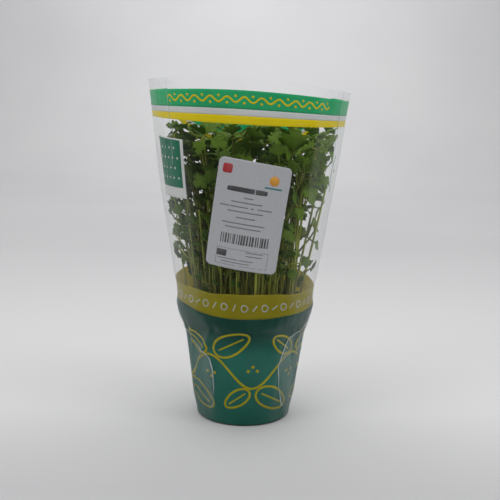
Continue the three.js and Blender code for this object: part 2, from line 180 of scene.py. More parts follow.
# The last two ranks fill the right and the left side: these are the headings that each rank may take
SEEDLING_HEADINGS = [(0, TURN), (0, TURN), (0, TURN), (-1.2, 0.4), (2.7, 4.2)]
SEEDLING_SEED = 4021
SEEDLING_BED = 45
SEEDLING_TRIES = 90
SEEDLING_CLEARANCE = 0.9
SEEDLING_FOOT_SPREAD = 1.6
SEEDLING_SIZES = (0.75, 1.2)
SEEDLING_YAW_SPREAD = 4
SEEDLING_ROLL_SPREAD = 2
SEEDLING_KNEES = (0.2, 0.5)
SEEDLING_WIDTHS = (0.55, 0.8)
SEEDLING_GROUPS = ("front", "right", "back", "left")
# A stem ends at least this share of its leaf's length before the film, in a sleeve of this half width
LEAF_ROOM = 0.45
ROOM_HALF_WIDTH = 80
# The leaflet whose stalks are as long as those of the fourteen plants
FULL_LEAFLET = 26
# The right side below the leaves, where the photograph shows only a few stems
OPEN_SIDE_X = 50
OPEN_SIDE_TOP = 187

# Bare stems between the others. To the right of SPARSE_FROM only one in SPARSE_SHARE is kept.
BARE_SEED = 61
BARE_STEMS = 170
BARE_BED = 50
BARE_CROWDING = 0.35
BARE_LEANS = (1.05, 1.4)
BARE_HEIGHTS = (165, 225)
BARE_BEND = 4
BARE_WIDTHS = (0.6, 0.9)
SPARSE_FROM = 24
SPARSE_SHARE = 4
# Two long stems along the right side: foot (x, y), bend (x, z) and end (x, z)
SIDE_STEMS = [((40, -6), (51, 152), (65, 226)), ((46, 5), (60, 155), (73, 221))]


def lerp(a, b, t):
    return (1 - t) * a + t * b


def between(t, low, high):
    """0 below low, 1 above high and smooth between them."""
    share = min(max((t - low) / (high - low), 0), 1)
    return share * share * (3 - 2 * share)


def bump_at(t, middle, width):
    return math.exp(-(((t - middle) / width) ** 2))


def angle_gap(a, b):
    """The smallest turn from b to a, from -pi to pi."""
    return (a - b + math.pi) % TURN - math.pi


def seeded(seed):
    """Random numbers from 0 to 1 that are the same on every run."""
    state = seed
    while True:
        state = (state * 1664525 + 1013904223) % 4294967296
        yield state / 4294967296


# Finishing pieces


def as_mesh(bm, name):
    mesh = bpy.data.meshes.new(name)
    bm.to_mesh(mesh)
    bm.free()
    return mesh


def as_object(bm, name, materials=()):
    """An object in metres from a mesh in millimetres."""
    bmesh.ops.scale(bm, vec=(METRES, METRES, METRES), verts=bm.verts)
    made = bpy.data.objects.new(name, as_mesh(bm, name))
    for material in materials:
        made.data.materials.append(material)
    bpy.context.collection.objects.link(made)
    return made


def finished(bm, name, materials, smooth=True):
    """A piece that rides on the root body."""
    piece = as_object(bm, name, materials)
    if smooth:
        piece.data.shade_smooth()
    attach(piece, "root")
    return piece


def thicken(piece, thickness):
    """Gives a sheet its thickness in millimetres, inwards from its face."""
    wall = piece.modifiers.new("wall", "SOLIDIFY")
    wall.thickness = thickness * METRES
    wall.offset = -1


def finished_film(bm, name, material):
    piece = finished(bm, name, [material])
    thicken(piece, FILM_THICKNESS)
    return piece


def finished_ink(bm, name, materials):
    thicken(finished(bm, name, materials), INK_THICKNESS)


def surface_grid(columns, rows, place):
    """A grid whose points, from 0 to 1 both ways, go where place says. Sides that meet are joined."""
    bm = bmesh.new()
    bmesh.ops.create_grid(bm, x_segments=columns, y_segments=rows, size=0.5)
    for vert in bm.verts:
        vert.co = place(vert.co.x + 0.5, vert.co.y + 0.5)
    bmesh.ops.remove_doubles(bm, verts=bm.verts, dist=1e-3)
    return bm


def add_mesh(bm, mesh, points, shade, material_index):
    """Adds a copy of a template mesh with its points moved, one shade all over and one material."""
    start = len(bm.verts)
    first_face = len(bm.faces)
    bm.from_mesh(mesh)
    bm.verts.ensure_lookup_table()
    bm.faces.ensure_lookup_table()
    shade_layer = bm.verts.layers.float.get("shade") or bm.verts.layers.float.new("shade")
    for vert, point in zip(bm.verts[start:], points):
        vert.co = point
        vert[shade_layer] = shade
    for face in bm.faces[first_face:]:
        face.material_index = material_index


# Materials


class Shader:
    """A material's node tree, with short calls to add and join nodes."""

    def __init__(self, name):
        self.material = bpy.data.materials.new(name)
        self.material.use_nodes = True
        self.tree = self.material.node_tree
        self.tree.nodes.clear()

    def node(self, kind, sockets=None, **settings):
        made = self.tree.nodes.new("ShaderNode" + kind)
        for key, value in settings.items():
            setattr(made, key, value)
        for key, value in (sockets or {}).items():
            self.feed(made.inputs[key], value)
        return made

    def feed(self, socket, value):
        if isinstance(value, bpy.types.NodeSocket):
            self.tree.links.new(value, socket)
        else:
            socket.default_value = value

    def coordinates(self):
        return self.node("TexCoord").outputs["Object"]

    def along(self, axis):
        """Where a point lies along X, Y or Z, in metres."""
        return self.node("SeparateXYZ", {0: self.coordinates()}).outputs[axis]

    def noise(self, scale, detail=3.0, stretch=(1, 1, 1), rough=0.5):
        place = self.node("Mapping", {"Vector": self.coordinates(), "Scale": stretch}).outputs[0]
        sockets = {"Vector": place, "Scale": scale, "Detail": detail, "Roughness": rough}
        return self.node("TexNoise", sockets).outputs["Fac"]

    def maths(self, operation, a, b=0.0):
        return self.node("Math", {0: a, 1: b}, operation=operation).outputs[0]

    def span(self, value, low, high, to_low=0.0, to_high=1.0):
        sockets = {"Value": value, "From Min": low, "From Max": high, "To Min": to_low, "To Max": to_high}
        return self.node("MapRange", sockets).outputs[0]

    def mix(self, share, a, b):
        made = self.node("Mix", data_type="RGBA")
        self.feed(made.inputs[0], share)
        self.feed(made.inputs[6], a)
        self.feed(made.inputs[7], b)
        return made.outputs[2]

    def bump(self, height, strength, distance):
        sockets = {"Height": height, "Strength": strength, "Distance": distance}
        return self.node("Bump", sockets).outputs["Normal"]

    def skin(self, colour, roughness, specular=0.5, normal=None, metallic=0.0):
        """The usual surface, dull or glossy."""
        sockets = {"Base Color": colour, "Roughness": roughness, "Specular IOR Level": specular}
        sockets["Metallic"] = metallic
        if normal is not None:
            sockets["Normal"] = normal
        return self.node("BsdfPrincipled", sockets).outputs[0]

    def clear(self, colour):
        return self.node("BsdfTransparent", {"Color": colour}).outputs[0]

    def light_through(self, colour):
        return self.node("BsdfTranslucent", {"Color": colour}).outputs[0]

    def blend(self, share, first, second):
        return self.node("MixShader", {0: share, 1: first, 2: second}).outputs[0]

    def finish(self, surface):
        self.node("OutputMaterial", {"Surface": surface})
        return self.material


def rgb(red, green, blue):
    return (red, green, blue, 1)


# Heights in metres between which the film's look changes, at the pot's rim
FILM_CHANGE = (0.09, 0.13)
MOST_MIRRORED = 0.045


def film_material():
    """Clear film: it mirrors more at a glancing angle, and is hazier there. It is clearest round the pot."""
    s = Shader("clear_film")
    height = s.along("Z")
    slant = s.node("LayerWeight", {"Blend": 0.5}).outputs["Facing"]
    slant_haze = s.maths("MULTIPLY", s.maths("POWER", slant, 2.2), s.span(height, *FILM_CHANGE, 0.035, 0.16))
    scuff = s.span(s.noise(55, 4, (1, 1, 0.25)), 0.45, 0.75, 0.0, 0.006)
    white = s.node("BsdfDiffuse", {"Color": rgb(0.86, 0.88, 0.89)}).outputs[0]
    hazy = s.blend(s.maths("ADD", scuff, slant_haze), s.clear(rgb(0.995, 0.997, 0.997)), white)
    fresnel = s.node("Fresnel", {"IOR": 1.36}).outputs[0]
    mirrored = s.maths("MULTIPLY", fresnel, s.span(height, *FILM_CHANGE, 0.08, 0.2))
    gloss = s.skin(rgb(0.97, 0.98, 0.98), 0.1, metallic=1.0)
    return s.finish(s.blend(s.maths("MINIMUM", mirrored, MOST_MIRRORED), hazy, gloss))


def folded_film_material(name, haze_share):
    """Film lying double or creased: whiter than a single sheet."""
    s = Shader(name)
    streak = s.span(s.noise(120, 4, (1, 1, 0.1)), 0.35, 0.7, 0.3 * haze_share, 1.9 * haze_share)
    return s.finish(s.blend(streak, s.clear(rgb(0.98, 0.985, 0.985)), s.skin(rgb(0.72, 0.84, 0.82), 0.3)))


def ink_material(name, colour, darker, glow, painted_shade_from=1.0):
    """Mottled printed ink with some light from behind. It is darker with painted shade under the pot's rim,
    above the given height in metres, and darker towards the bottom.
    """
    s = Shader(name)
    height = s.along("Z")
    mottled = s.mix(s.span(s.noise(38, 4), 0.35, 0.7), rgb(*colour), rgb(*darker))
    # Painted shade under the pot's rim, where the film slopes inwards
    above = s.span(height, painted_shade_from, painted_shade_from + 0.02, 0, 0.72)
    shade = s.maths("MAXIMUM", above, s.span(height, 0.0, 0.04, 0.35, 0))
    paint = s.mix(shade, mottled, rgb(0.001, 0.025, 0.016))
    return s.finish(s.blend(glow, s.skin(paint, 0.4, 0.04), s.light_through(paint)))


# Side veins of a leaflet: where each leaves the midrib and how steeply, in leaflet lengths
VEINS = [(0.04, 0.667), (0.22, 0.93), (0.48, 1.28)]
VEIN_WIDTH = 0.016


def vein_mask(s, u, v):
    """1 on the veins: the midrib and three pairs that run to the lobes."""
    rib = s.span(v, 0, 0.02, 1, 0)
    for start, slope in VEINS:
        line = s.maths("ADD", s.maths("MULTIPLY", v, slope), start)
        apart = s.maths("ABSOLUTE", s.maths("SUBTRACT", u, line))
        rib = s.maths("MAXIMUM", rib, s.span(apart, 0, VEIN_WIDTH * (1 + slope), 0.8, 0))
    return rib


def leaf_material():
    """Mid green, darker or lighter from leaf to leaf and lighter with painted light at the right, with pale
    veins and light coming through.
    """
    s = Shader("parsley_leaf")
    uv = s.node("SeparateXYZ", {0: s.node("UVMap", uv_map="leaf").outputs[0]}).outputs
    across = s.maths("ABSOLUTE", s.maths("MULTIPLY", s.maths("SUBTRACT", uv[1], 0.5), 2.0))
    veins = vein_mask(s, uv[0], across)
    shade = s.node("Attribute", attribute_name="shade").outputs["Fac"]
    green = s.mix(shade, rgb(0.024, 0.074, 0.005), rgb(0.2, 0.34, 0.035))
    patch = s.span(s.noise(160, 4), 0.35, 0.7)
    green = s.mix(s.maths("MULTIPLY", patch, 0.35), green, rgb(0.17, 0.28, 0.022))
    colour = s.mix(s.maths("MULTIPLY", veins, 0.4), green, rgb(0.26, 0.38, 0.06))
    relief = s.maths("ADD", s.maths("MULTIPLY", veins, -0.6), s.maths("MULTIPLY", s.noise(420, 3), 0.5))
    blade = s.skin(colour, 0.48, 0.11, s.bump(relief, 0.5, 0.0006))
    glow = s.mix(0.5, colour, rgb(0.2, 0.36, 0.02))
    return s.finish(s.blend(0.3, blade, s.light_through(glow)))


def stem_material():
    """Stems: pale at the foot, greener above, paler with painted light towards the sides, with fine ridges
    along them.
    """
    s = Shader("parsley_stem")
    shade = s.node("Attribute", attribute_name="shade").outputs["Fac"]
    green = s.mix(shade, rgb(0.06, 0.1, 0.012), rgb(0.44, 0.49, 0.07))
    colour = s.mix(s.span(s.along("Z"), 0.09, 0.16, 0.5, 0.0), green, rgb(0.5, 0.48, 0.08))
    ridges = s.bump(s.noise(900, 2, (1, 1, 0.05)), 0.4, 0.0004)
    return s.finish(s.blend(0.15, s.skin(colour, 0.42, 0.2, ridges), s.light_through(colour)))


def soil_material():
    """Dark brown crumbs."""
    s = Shader("potting_soil")
    grain = s.noise(260, 6, rough=0.7)
    colour = s.mix(s.span(grain, 0.35, 0.68), rgb(0.012, 0.007, 0.004), rgb(0.085, 0.05, 0.028))
    return s.finish(s.skin(colour, 0.92, 0.15, s.bump(grain, 0.9, 0.0015)))


def pot_material():
    """Thermoformed recycled plastic: near black with faint streaks and scuffs."""
    s = Shader("pot_plastic")
    streak = s.noise(60, 4, (1, 1, 0.15))
    colour = s.mix(s.span(streak, 0.4, 0.7), rgb(0.013, 0.014, 0.015), rgb(0.028, 0.029, 0.03))
    rough = s.span(s.noise(140, 3), 0.35, 0.7, 0.32, 0.5)
    return s.finish(s.skin(colour, rough, normal=s.bump(s.noise(700, 2), 0.15, 0.0003)))


def sticker_material():
    """Coated paper: pale grey, smooth, with a faint fibre."""
    s = Shader("sticker_paper")
    fibre = s.noise(500, 4)
    colour = s.mix(s.span(fibre, 0.3, 0.7), rgb(0.47, 0.48, 0.505), rgb(0.51, 0.52, 0.545))
    return s.finish(s.skin(colour, 0.42, 0.4, s.bump(fibre, 0.08, 0.0002)))


def sticker_ink_material(name, colour):
    """Plain ink with a faint paler mottle."""
    s = Shader(name)
    tone = s.mix(s.span(s.noise(90, 3), 0.3, 0.7, 0, 0.12), rgb(*colour), rgb(0.5, 0.5, 0.5))
    return s.finish(s.skin(tone, 0.5))


def backdrop_material():
    """Pale paper, with a pool of painted light round the object."""
    s = Shader("pale_backdrop")
    tone = s.mix(s.span(s.noise(3, 2), 0.3, 0.7), rgb(0.585, 0.585, 0.6), rgb(0.615, 0.615, 0.625))
    y = s.along("Y")
    # Painted light: the floor is lighter in a band round the object
    painted_light_round_object = s.maths("MULTIPLY", s.span(y, -0.17, 0.0), s.span(y, 0.15, 0.8, 1, 0))
    return s.finish(s.skin(s.mix(painted_light_round_object, tone, rgb(0.75, 0.75, 0.755)), 0.8))


# The sleeve's shape


def sleeve_size(z):
    """Half width and half depth of the sleeve's outer face, for one height or for many."""
    return np.interp(z, STATION_Z, STATION_WIDTH), np.interp(z, STATION_Z, STATION_DEPTH)


def mouth_drop(z, angle):
    share = max(0, (z - POT_HEIGHT) / (SLEEVE_TOP - POT_HEIGHT)) ** 2
    back = between(math.sin(angle), MOUTH_BACK_START, 1)
    side = math.cos(angle)
    return share * (MOUTH_BACK_DROP * back + MOUTH_SIDE_DROP * side**2 + MOUTH_SIDE_TILT * side)


# Folds of the slack film under the rim: angle in degrees, lean in degrees a millimetre, and height
RIM_FOLDS = [
    (206, 0.35, 1.3),
    (222, 0.62, 1.5),
    (196, 0.2, 1.1),
    (336, -0.3, 1.6),
    (322, -0.12, 1.0),
    (352, -0.1, 1.3),
    (18, 0.3, 1.2),
    (54, -0.25, 1.0),
    (96, 0.2, 1.1),
    (131, -0.3, 1.2),
    (164, 0.15, 1.2),
]
FOLD_MIDDLE_Z = 62
FOLD_WIDTH = 0.055
# Fold lines that the flat sleeve left in the film, in degrees
FLAT_CREASES = (-26, 211, 26, 149)
CREASE_HEIGHT = 0.55
CREASE_WIDTH = 0.014
# Heights between which each kind of relief grows or fades
SLACK_GROWS = (108, 170)
FOLDS_GROW = (4, 30)
FOLDS_FADE = (84, 97)
CREASES_GROW = (150, 250)
# Round the pot's rim: height of the middle, and width
RIM_WRINKLES = (98, 9)
RIM_LIP = (105, 4)
RIM_WAIST = (121, 9)
# Along each side, a low ridge and a hollow beside it: height, angle from the side, and width
SIDE_FORMS = [(0.3, 0, 0.03), (-1.1, 0.22, 0.12)]
DEEPEST_HOLLOW = 1.1


def film_relief(angle, z):
    """How far the film stands out from its smooth shape, in mm."""
    around = Vector((math.cos(angle), math.sin(angle), 0))
    slack = between(z, *SLACK_GROWS)
    broad = noise.noise(around * 1.7 + Vector((0, 0, z / 90)))
    streak = noise.noise(around * 5.5 + Vector((4, 7, z / 120)))
    relief = slack * (1.5 * broad + 0.8 * streak)
    folded = between(z, *FOLDS_GROW) * (1 - between(z, *FOLDS_FADE))
    for place, lean, height in RIM_FOLDS:
        line = math.radians(place + lean * (z - FOLD_MIDDLE_Z))
        relief += folded * height * bump_at(angle_gap(angle, line), 0, FOLD_WIDTH)
    relief += folded * 0.35 * noise.noise(around * 4 + Vector((9, 1, z / 40)))
    relief += bump_at(z, *RIM_WRINKLES) * 0.45 * noise.noise(around * 9 + Vector((2, 3, z / 14)))
    relief += bump_at(z, *RIM_LIP) - bump_at(z, *RIM_WAIST)
    for side in (0, math.pi):
        gap = abs(angle_gap(angle, side))
        relief += slack * sum(height * bump_at(gap, place, width) for height, place, width in SIDE_FORMS)
    for crease in FLAT_CREASES:
        gap = angle_gap(angle, math.radians(crease))
        relief += between(z, *CREASES_GROW) * CREASE_HEIGHT * bump_at(gap, 0, CREASE_WIDTH)
    return max(relief, -DEEPEST_HOLLOW)


# The sleeve's outline is rounded off over this many millimetres of height, up and down
OUTLINE_ROUNDING = 2.5


def film_point(angle, z, inset=0.0):
    """A point of the film, or inset millimetres inside it. z is the height before the mouth's slope."""
    widths, depths = sleeve_size(np.array([z - OUTLINE_ROUNDING, z, z + OUTLINE_ROUNDING]))
    out = film_relief(angle, z) - inset
    x = (widths.mean() + out) * math.cos(angle)
    y = (depths.mean() + out) * math.sin(angle)
    return Vector((x, y, z - mouth_drop(z, angle)))


def angle_across(width, z):
    """The angle that so many millimetres take up across the front, at one height."""
    return width / float(sleeve_size(z)[0])


def make_film(material):
    def place(u, v):
        return film_point(u * TURN, lerp(SLEEVE_BOTTOM, SLEEVE_TOP, v))

    film = finished_film(surface_grid(264, 132, place), "film_sleeve", material)
    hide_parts("sleeve")


# Side fins of the film, folded flat against the pot: (height, angle in degrees) along the free edge
FIN_LEFT = [(3, -131), (20, -125.5), (35, -123), (52, -122.8), (63, -125.5), (80, -150), (92, -172)]
FIN_RIGHT = [(3, -33), (20, -42), (35, -48.5), (56, -53), (70, -49), (83, -44), (93, -12)]
FIN_LIFT = 0.25
# Angles in degrees where the fins start, behind the sides
FIN_LEFT_ROOT = -205
FIN_RIGHT_ROOT = 25
# The white line along a fin's edge starts this far above its foot
FIN_LINE_START = 12
# Weld seams of the two halves: angle in degrees, and the height where the seam fades
SEAMS = [(-141.5, 232), (-26.5, 238)]


def fin_edge(points, z):
    heights, angles = zip(*points)
    return math.radians(np.interp(z, heights, angles))


def make_fin(name, points, root, material):
    """A fin of double film from its weld at the side to its free edge. It lies close on the sleeve."""

    def place(u, v):
        z = lerp(points[0][0], points[-1][0], v)
        return film_point(lerp(math.radians(root), fin_edge(points, z), u), z, -FIN_LIFT * (1 + u))

    finished_film(surface_grid(30, 60, place), name, material)


def fin_line(points):
    """The free edge of a fin as a path."""

    def path(t):
        z = lerp(points[0][0] + FIN_LINE_START, points[-1][0], t)
        return fin_edge(points, z), z

    return path


def seam_line(angle, low):
    """A weld seam as a path, from where it fades to just under the mouth."""

    def path(t):
        return math.radians(angle), lerp(low, SLEEVE_TOP - 1, t)

    return path


def make_folds():
    """The fins, white lines where the film is sharply folded, and fainter ones where it is welded. The folded
    lines and the right fin are whiter partly with painted highlight.
    """
    make_fin("film_fin_left", FIN_LEFT, FIN_LEFT_ROOT, folded_film_material("double_film_left", 0.05))
    # The right fin is hazier than the left: partly double film, partly a painted highlight
    make_fin("film_fin_right", FIN_RIGHT, FIN_RIGHT_ROOT, folded_film_material("double_film_right_painted_highlight", 0.065))
    bm = bmesh.new()
    for points in (FIN_LEFT, FIN_RIGHT):
        ribbon(bm, fin_line(points), 0.9, -0.6, 60)
    # The lines along the fins' edges are partly crease whitening and partly painted highlight
    finished_film(bm, "film_creases", folded_film_material("creased_film_painted_highlight", 0.5))
    bm = bmesh.new()
    for angle, low in SEAMS:
        ribbon(bm, seam_line(angle, low), 0.8, -0.15, 30)
    finished_film(bm, "film_seams", folded_film_material("welded_film", 0.22))


# Printed layers, just inside the film


def printed_band(name, low, high, material, rows, columns=300, inset=INK_INSET, span=(0, TURN)):
    """A band of ink between two edges, each given as a height for every angle."""

    def place(u, v):
        angle = lerp(*span, u)
        return film_point(angle, lerp(low(angle), high(angle), v), inset)

    finished_ink(surface_grid(columns, rows, place), name, [material])


def print_height(level, left_rise=0.0, right_rise=0.0, back_rise=0.0, wave=0.0):
    """A printed line round the sleeve, which may rise towards its sides and back and wave slightly."""

    def height(angle):
        left, right = max(0, -math.cos(angle)), max(0, math.cos(angle))
        back = max(0, math.sin(angle))
        ripple = noise.noise(Vector((math.cos(angle) * 3, math.sin(angle) * 3, level)))
        return level + left_rise * left**2 + right_rise * right**2 + back_rise * back + wave * ripple

    return height


def ribbon(bm, path, width, inset=MARK_INSET, steps=40):
    """Adds a printed line along path, which gives (angle, z) for t from 0 to 1, with a hand-drawn edge."""
    made = bmesh.ops.create_grid(bm, x_segments=steps, y_segments=2, size=0.5)
    for vert in made["verts"]:
        t = vert.co.x + 0.5
        side = vert.co.y
        angle, z = path(t)
        ahead_angle, ahead_z = path(min(t + 0.01, 1))
        back_angle, back_z = path(max(t - 0.01, 0))
        radius = float(sleeve_size(z)[0])
        along = Vector(((ahead_angle - back_angle) * radius, ahead_z - back_z)).normalized()
        wobble = 1 + 0.16 * noise.noise(Vector((angle * 40, z * 0.4, side)))
        reach = side * width * wobble
        vert.co = film_point(angle - along.y * reach / radius, z + along.x * reach, inset)


def oval(angle, z, length, width, turn):
    """The outline of a plain oval leaflet as a path."""

    def path(t):
        a = t * TURN
        x = 0.5 * length * math.cos(a)
        y = 0.5 * width * math.sin(a) * (1 - 0.18 * math.cos(a))
        across = x * math.cos(turn) - y * math.sin(turn)
        return angle + angle_across(across, z), z + x * math.sin(turn) + y * math.cos(turn)

    return path


def straight(angle, z, length, turn):
    """A straight line as a path, with its middle at angle and z."""

    def path(t):
        reach = (t - 0.5) * length
        return angle + angle_across(reach * math.cos(turn), z), z + reach * math.sin(turn)

    return path


def dot(bm, angle, z, radius):
    made = bmesh.ops.create_circle(bm, cap_ends=True, cap_tris=True, segments=16, radius=radius)
    for vert in made["verts"]:
        vert.co = film_point(angle + angle_across(vert.co.x, z), z + vert.co.y, MARK_INSET)


VINE_START = math.radians(-148)
VINE_WAVES = 4
VINE_MIDDLE_Z = 52
VINE_SWAY = 15
VINE_LINE = 2.2
# Leaflets at each bend of the vine: turn from level, length, width and distance from the bend
VINE_LEAVES = [(0.5, 36, 19, 24), (2.5, 26, 14, 17)]
LEAFLET_LINE = 2.0
LEAFLET_RIB_LINE = 1.4
LEAFLET_RIB_SHARE = 0.72
# Three dots across from each bend: angle between them, distance from the vine, step and radius
VINE_DOTS = (0.08, 17, 4, 1.5)


def make_vine(material):
    """A running vine with plain oval leaflets and dots round the printed foot of the sleeve."""
    bm = bmesh.new()
    dot_gap, dots_away, dot_step, dot_radius = VINE_DOTS

    def vine(t):
        return VINE_START + t * TURN, VINE_MIDDLE_Z + VINE_SWAY * math.sin(VINE_WAVES * t * TURN)

    ribbon(bm, vine, VINE_LINE, steps=360)
    for bend in range(2 * VINE_WAVES):
        angle, z = vine((bend + 0.5) / (2 * VINE_WAVES))
        side = -1 if bend % 2 else 1
        for turn, length, width, away in VINE_LEAVES:
            tilt = side * turn
            leaf_angle = angle + angle_across(away * math.cos(tilt), z)
            leaf_z = z + away * math.sin(tilt)
            ribbon(bm, oval(leaf_angle, leaf_z, length, width, tilt), LEAFLET_LINE, steps=56)
            rib = straight(leaf_angle, leaf_z, LEAFLET_RIB_SHARE * length, tilt)
            ribbon(bm, rib, LEAFLET_RIB_LINE, steps=12)
        for k in range(3):
            dot(bm, angle + dot_gap * (k - 1), z - side * (dots_away + dot_step * (k % 2)), dot_radius)
    finished_ink(bm, "print_vine", [material])


# Wavy line in the top band, front and back: its middle as for print_height, and its half length
WAVE_MIDDLE = (289, 0.7, 1.9)
WAVE_HALF_LENGTH = math.radians(52)
WAVE_BENDS = 22
WAVE_SWAY = 2.2
WAVE_LINE = 1.5
WAVE_DOT_DROP = 2.8
WAVE_DOT_RADIUS = 1.1


def make_top_marks(material):
    """A small wavy line with dots along the top band."""
    bm = bmesh.new()
    middle = print_height(*WAVE_MIDDLE)
    for front in (-math.pi / 2, math.pi / 2):

        def wave(t, front=front):
            angle = front + lerp(-WAVE_HALF_LENGTH, WAVE_HALF_LENGTH, t)
            return angle, middle(angle) + WAVE_SWAY * math.sin(t * WAVE_BENDS * math.pi)

        ribbon(bm, wave, WAVE_LINE, steps=260)
        for bend in range(WAVE_BENDS):
            angle, _ = wave((bend + 0.5) / WAVE_BENDS)
            drop = WAVE_DOT_DROP * math.sin((bend + 0.5) * math.pi)
            dot(bm, angle, middle(angle) - drop, WAVE_DOT_RADIUS)
    finished_ink(bm, "print_top_marks", [material])


BAND_MARKS = 44
BAND_MIDDLE_Z = 113.5
BAND_LEFT_RISE = 3.5
BAND_RING = 5.6
BAND_RING_LINE = 0.8
BAND_STROKE = 6.0
BAND_STROKE_LINE = 0.9


def make_band_marks(material):
    """Pale rings and leaning strokes along the lower band."""
    bm = bmesh.new()
    for k in range(BAND_MARKS):
        angle = k * TURN / BAND_MARKS
        z = BAND_MIDDLE_Z + BAND_LEFT_RISE * max(0, -math.cos(angle))
        if k % 2:
            ribbon(bm, oval(angle, z, BAND_RING, BAND_RING, 0), BAND_RING_LINE, steps=20)
        else:
            lean = 0.9 + 0.3 * math.sin(2.4 * k)
            ribbon(bm, straight(angle, z, BAND_STROKE, lean), BAND_STROKE_LINE, steps=8)
    finished_ink(bm, "print_band_marks", [material])


# Side panel: its sides in degrees, and the heights of its lower and its upper edge at each side
PANEL_SIDES = (200, 228.5)
PANEL_LOWER = (214.5, 213.5)
PANEL_UPPER = (256.5, 253.5)
# White shows as a strip under the green, a thin line over it, and a line in radians at each side
PANEL_STRIP = 9
PANEL_LINE = 1.2
PANEL_SIDE_LINES = (0.02, 0.045)
PANEL_WHITE_INSET = INK_INSET + 0.12
PANEL_DOT_ROWS = 4
PANEL_DOT_START = 8
PANEL_DOT_STEP = 8.5


def make_panel(green, white):
    """The side panel: green with a white edge, a pale strip under it and rows of white dots."""
    left, right = (math.radians(side) for side in PANEL_SIDES)

    def edge(heights, beyond=0.0):
        return lambda angle: lerp(*heights, (angle - left) / (right - left)) + beyond

    low, high = edge(PANEL_LOWER), edge(PANEL_UPPER)
    inner = (left, right - PANEL_SIDE_LINES[1])
    outer = (left - PANEL_SIDE_LINES[0], right)
    printed_band("print_panel_green", low, high, green, 24, 24, INK_INSET, inner)
    low_white, high_white = edge(PANEL_LOWER, -PANEL_STRIP), edge(PANEL_UPPER, PANEL_LINE)
    printed_band(
        "print_panel_white", low_white, high_white, white, 28, 30, PANEL_WHITE_INSET, outer
    )
    bm = bmesh.new()
    for row in range(PANEL_DOT_ROWS):
        for column in range(5 - row % 2):
            angle = lerp(left, right, (column + 0.8 + 0.4 * (row % 2)) / 6)
            dot(bm, angle, low(angle) + PANEL_DOT_START + PANEL_DOT_STEP * row, 1.0)
    finished_ink(bm, "print_panel_dots", [white])


# Curl at the right: angle of its ends and how far its middle bulges, in degrees, and its heights
CURL_ANGLE = -17
CURL_BULGE = 6
CURL_HEIGHTS = (213, 247)
CURL_LINE = 1.6
CURL_DOT_ANGLE = -15
CURL_DOT_Z = 232


def make_side_curl(material):
    """A plain thin curl with a dot on the right side of the film."""
    bm = bmesh.new()

    def curl(t):
        return math.radians(CURL_ANGLE - CURL_BULGE * math.sin(t * math.pi)), lerp(*CURL_HEIGHTS, t)

    ribbon(bm, curl, CURL_LINE, steps=30)
    dot(bm, math.radians(CURL_DOT_ANGLE), CURL_DOT_Z, 1.6)
    finished_ink(bm, "print_side_curl", [material])


# Inks: colour, its darker mottle, the share of light from behind, and for the foot's green the height
# in metres from which it is darker with painted shade under the pot's rim
INKS = {
    "foot_green": ((0.03, 0.18, 0.135), (0.022, 0.145, 0.108), 0.08, 0.068),
    "top_green": ((0.1, 0.72, 0.4), (0.09, 0.66, 0.36), 0.7),
    "panel_green": ((0.01, 0.27, 0.145), (0.008, 0.24, 0.13), 0.35),
    "yellow": ((0.99, 0.82, 0.02), (0.97, 0.79, 0.012), 0.2),
    "mark": ((0.98, 0.78, 0.02), (0.94, 0.72, 0.018), 0.2),
    "olive": ((0.7, 0.63, 0.045), (0.62, 0.55, 0.038), 0.68),
    "white": ((0.66, 0.68, 0.66), (0.6, 0.62, 0.6), 0.2),
    "panel_white": ((0.95, 0.95, 0.94), (0.9, 0.9, 0.9), 0.35),
    "top_white": ((0.9, 0.91, 0.91), (0.85, 0.86, 0.86), 0.4),
    "vine": ((0.5, 0.44, 0.015), (0.44, 0.38, 0.012), 0.1),
}
# Edges of the printed bands, as for print_height: round the pot's rim, then upwards near the mouth
FOOT_EDGE = (SLEEVE_BOTTOM + 0.4,)
BAND_EDGES = [(104.3, 7, 3, 0, 1.0), (125.5, 1.5, -3, 6, 1.6)]
TOP_EDGES = [(269, 4.5, 4.8), (276, 2.5, 3.3), (281.4, 1.7, 2.6), (296.7, -0.4, 1.3)]


def make_prints():
    inks = {name: ink_material(f"{name}_ink", *recipe) for name, recipe in INKS.items()}
    foot, split, band_top = (print_height(*edge) for edge in [FOOT_EDGE] + BAND_EDGES)
    top = [print_height(*edge) for edge in TOP_EDGES]
    printed_band("print_green_foot", foot, split, inks["foot_green"], 76)
    printed_band("print_yellow_band", split, band_top, inks["olive"], 12)
    printed_band("print_green_top", top[2], top[3], inks["top_green"], 8)
    printed_band("print_white_top", top[1], top[2], inks["top_white"], 4)
    printed_band("print_yellow_stripe", top[0], top[1], inks["yellow"], 4)
    make_vine(inks["vine"])
    make_top_marks(inks["mark"])
    make_band_marks(inks["white"])
    make_panel(inks["panel_green"], inks["panel_white"])
    make_side_curl(inks["panel_green"])


# Sticker


def label_point(x, y, lift):
    """A point of the sticker, x to the right and y up from its middle before it is tilted."""
    across = LABEL_MIDDLE_X + x * math.cos(LABEL_TILT) + y * math.sin(LABEL_TILT)
    z = LABEL_MIDDLE_Z + y * math.cos(LABEL_TILT) - x * math.sin(LABEL_TILT)
    return film_point(-math.pi / 2 + angle_across(across, z), z, -lift)


def rounded(x, y, width, height, corner):
    """Moves a point of a plain rectangle to the same place in one with round corners."""
    reach_x = abs(x) - (width / 2 - corner)
    reach_y = abs(y) - (height / 2 - corner)
    if reach_x <= 0 or reach_y <= 0:
        return x, y
    a, b = reach_x / corner, reach_y / corner
    new_x = width / 2 - corner + corner * a * math.sqrt(1 - b * b / 2)
    new_y = height / 2 - corner + corner * b * math.sqrt(1 - a * a / 2)
    return math.copysign(new_x, x), math.copysign(new_y, y)


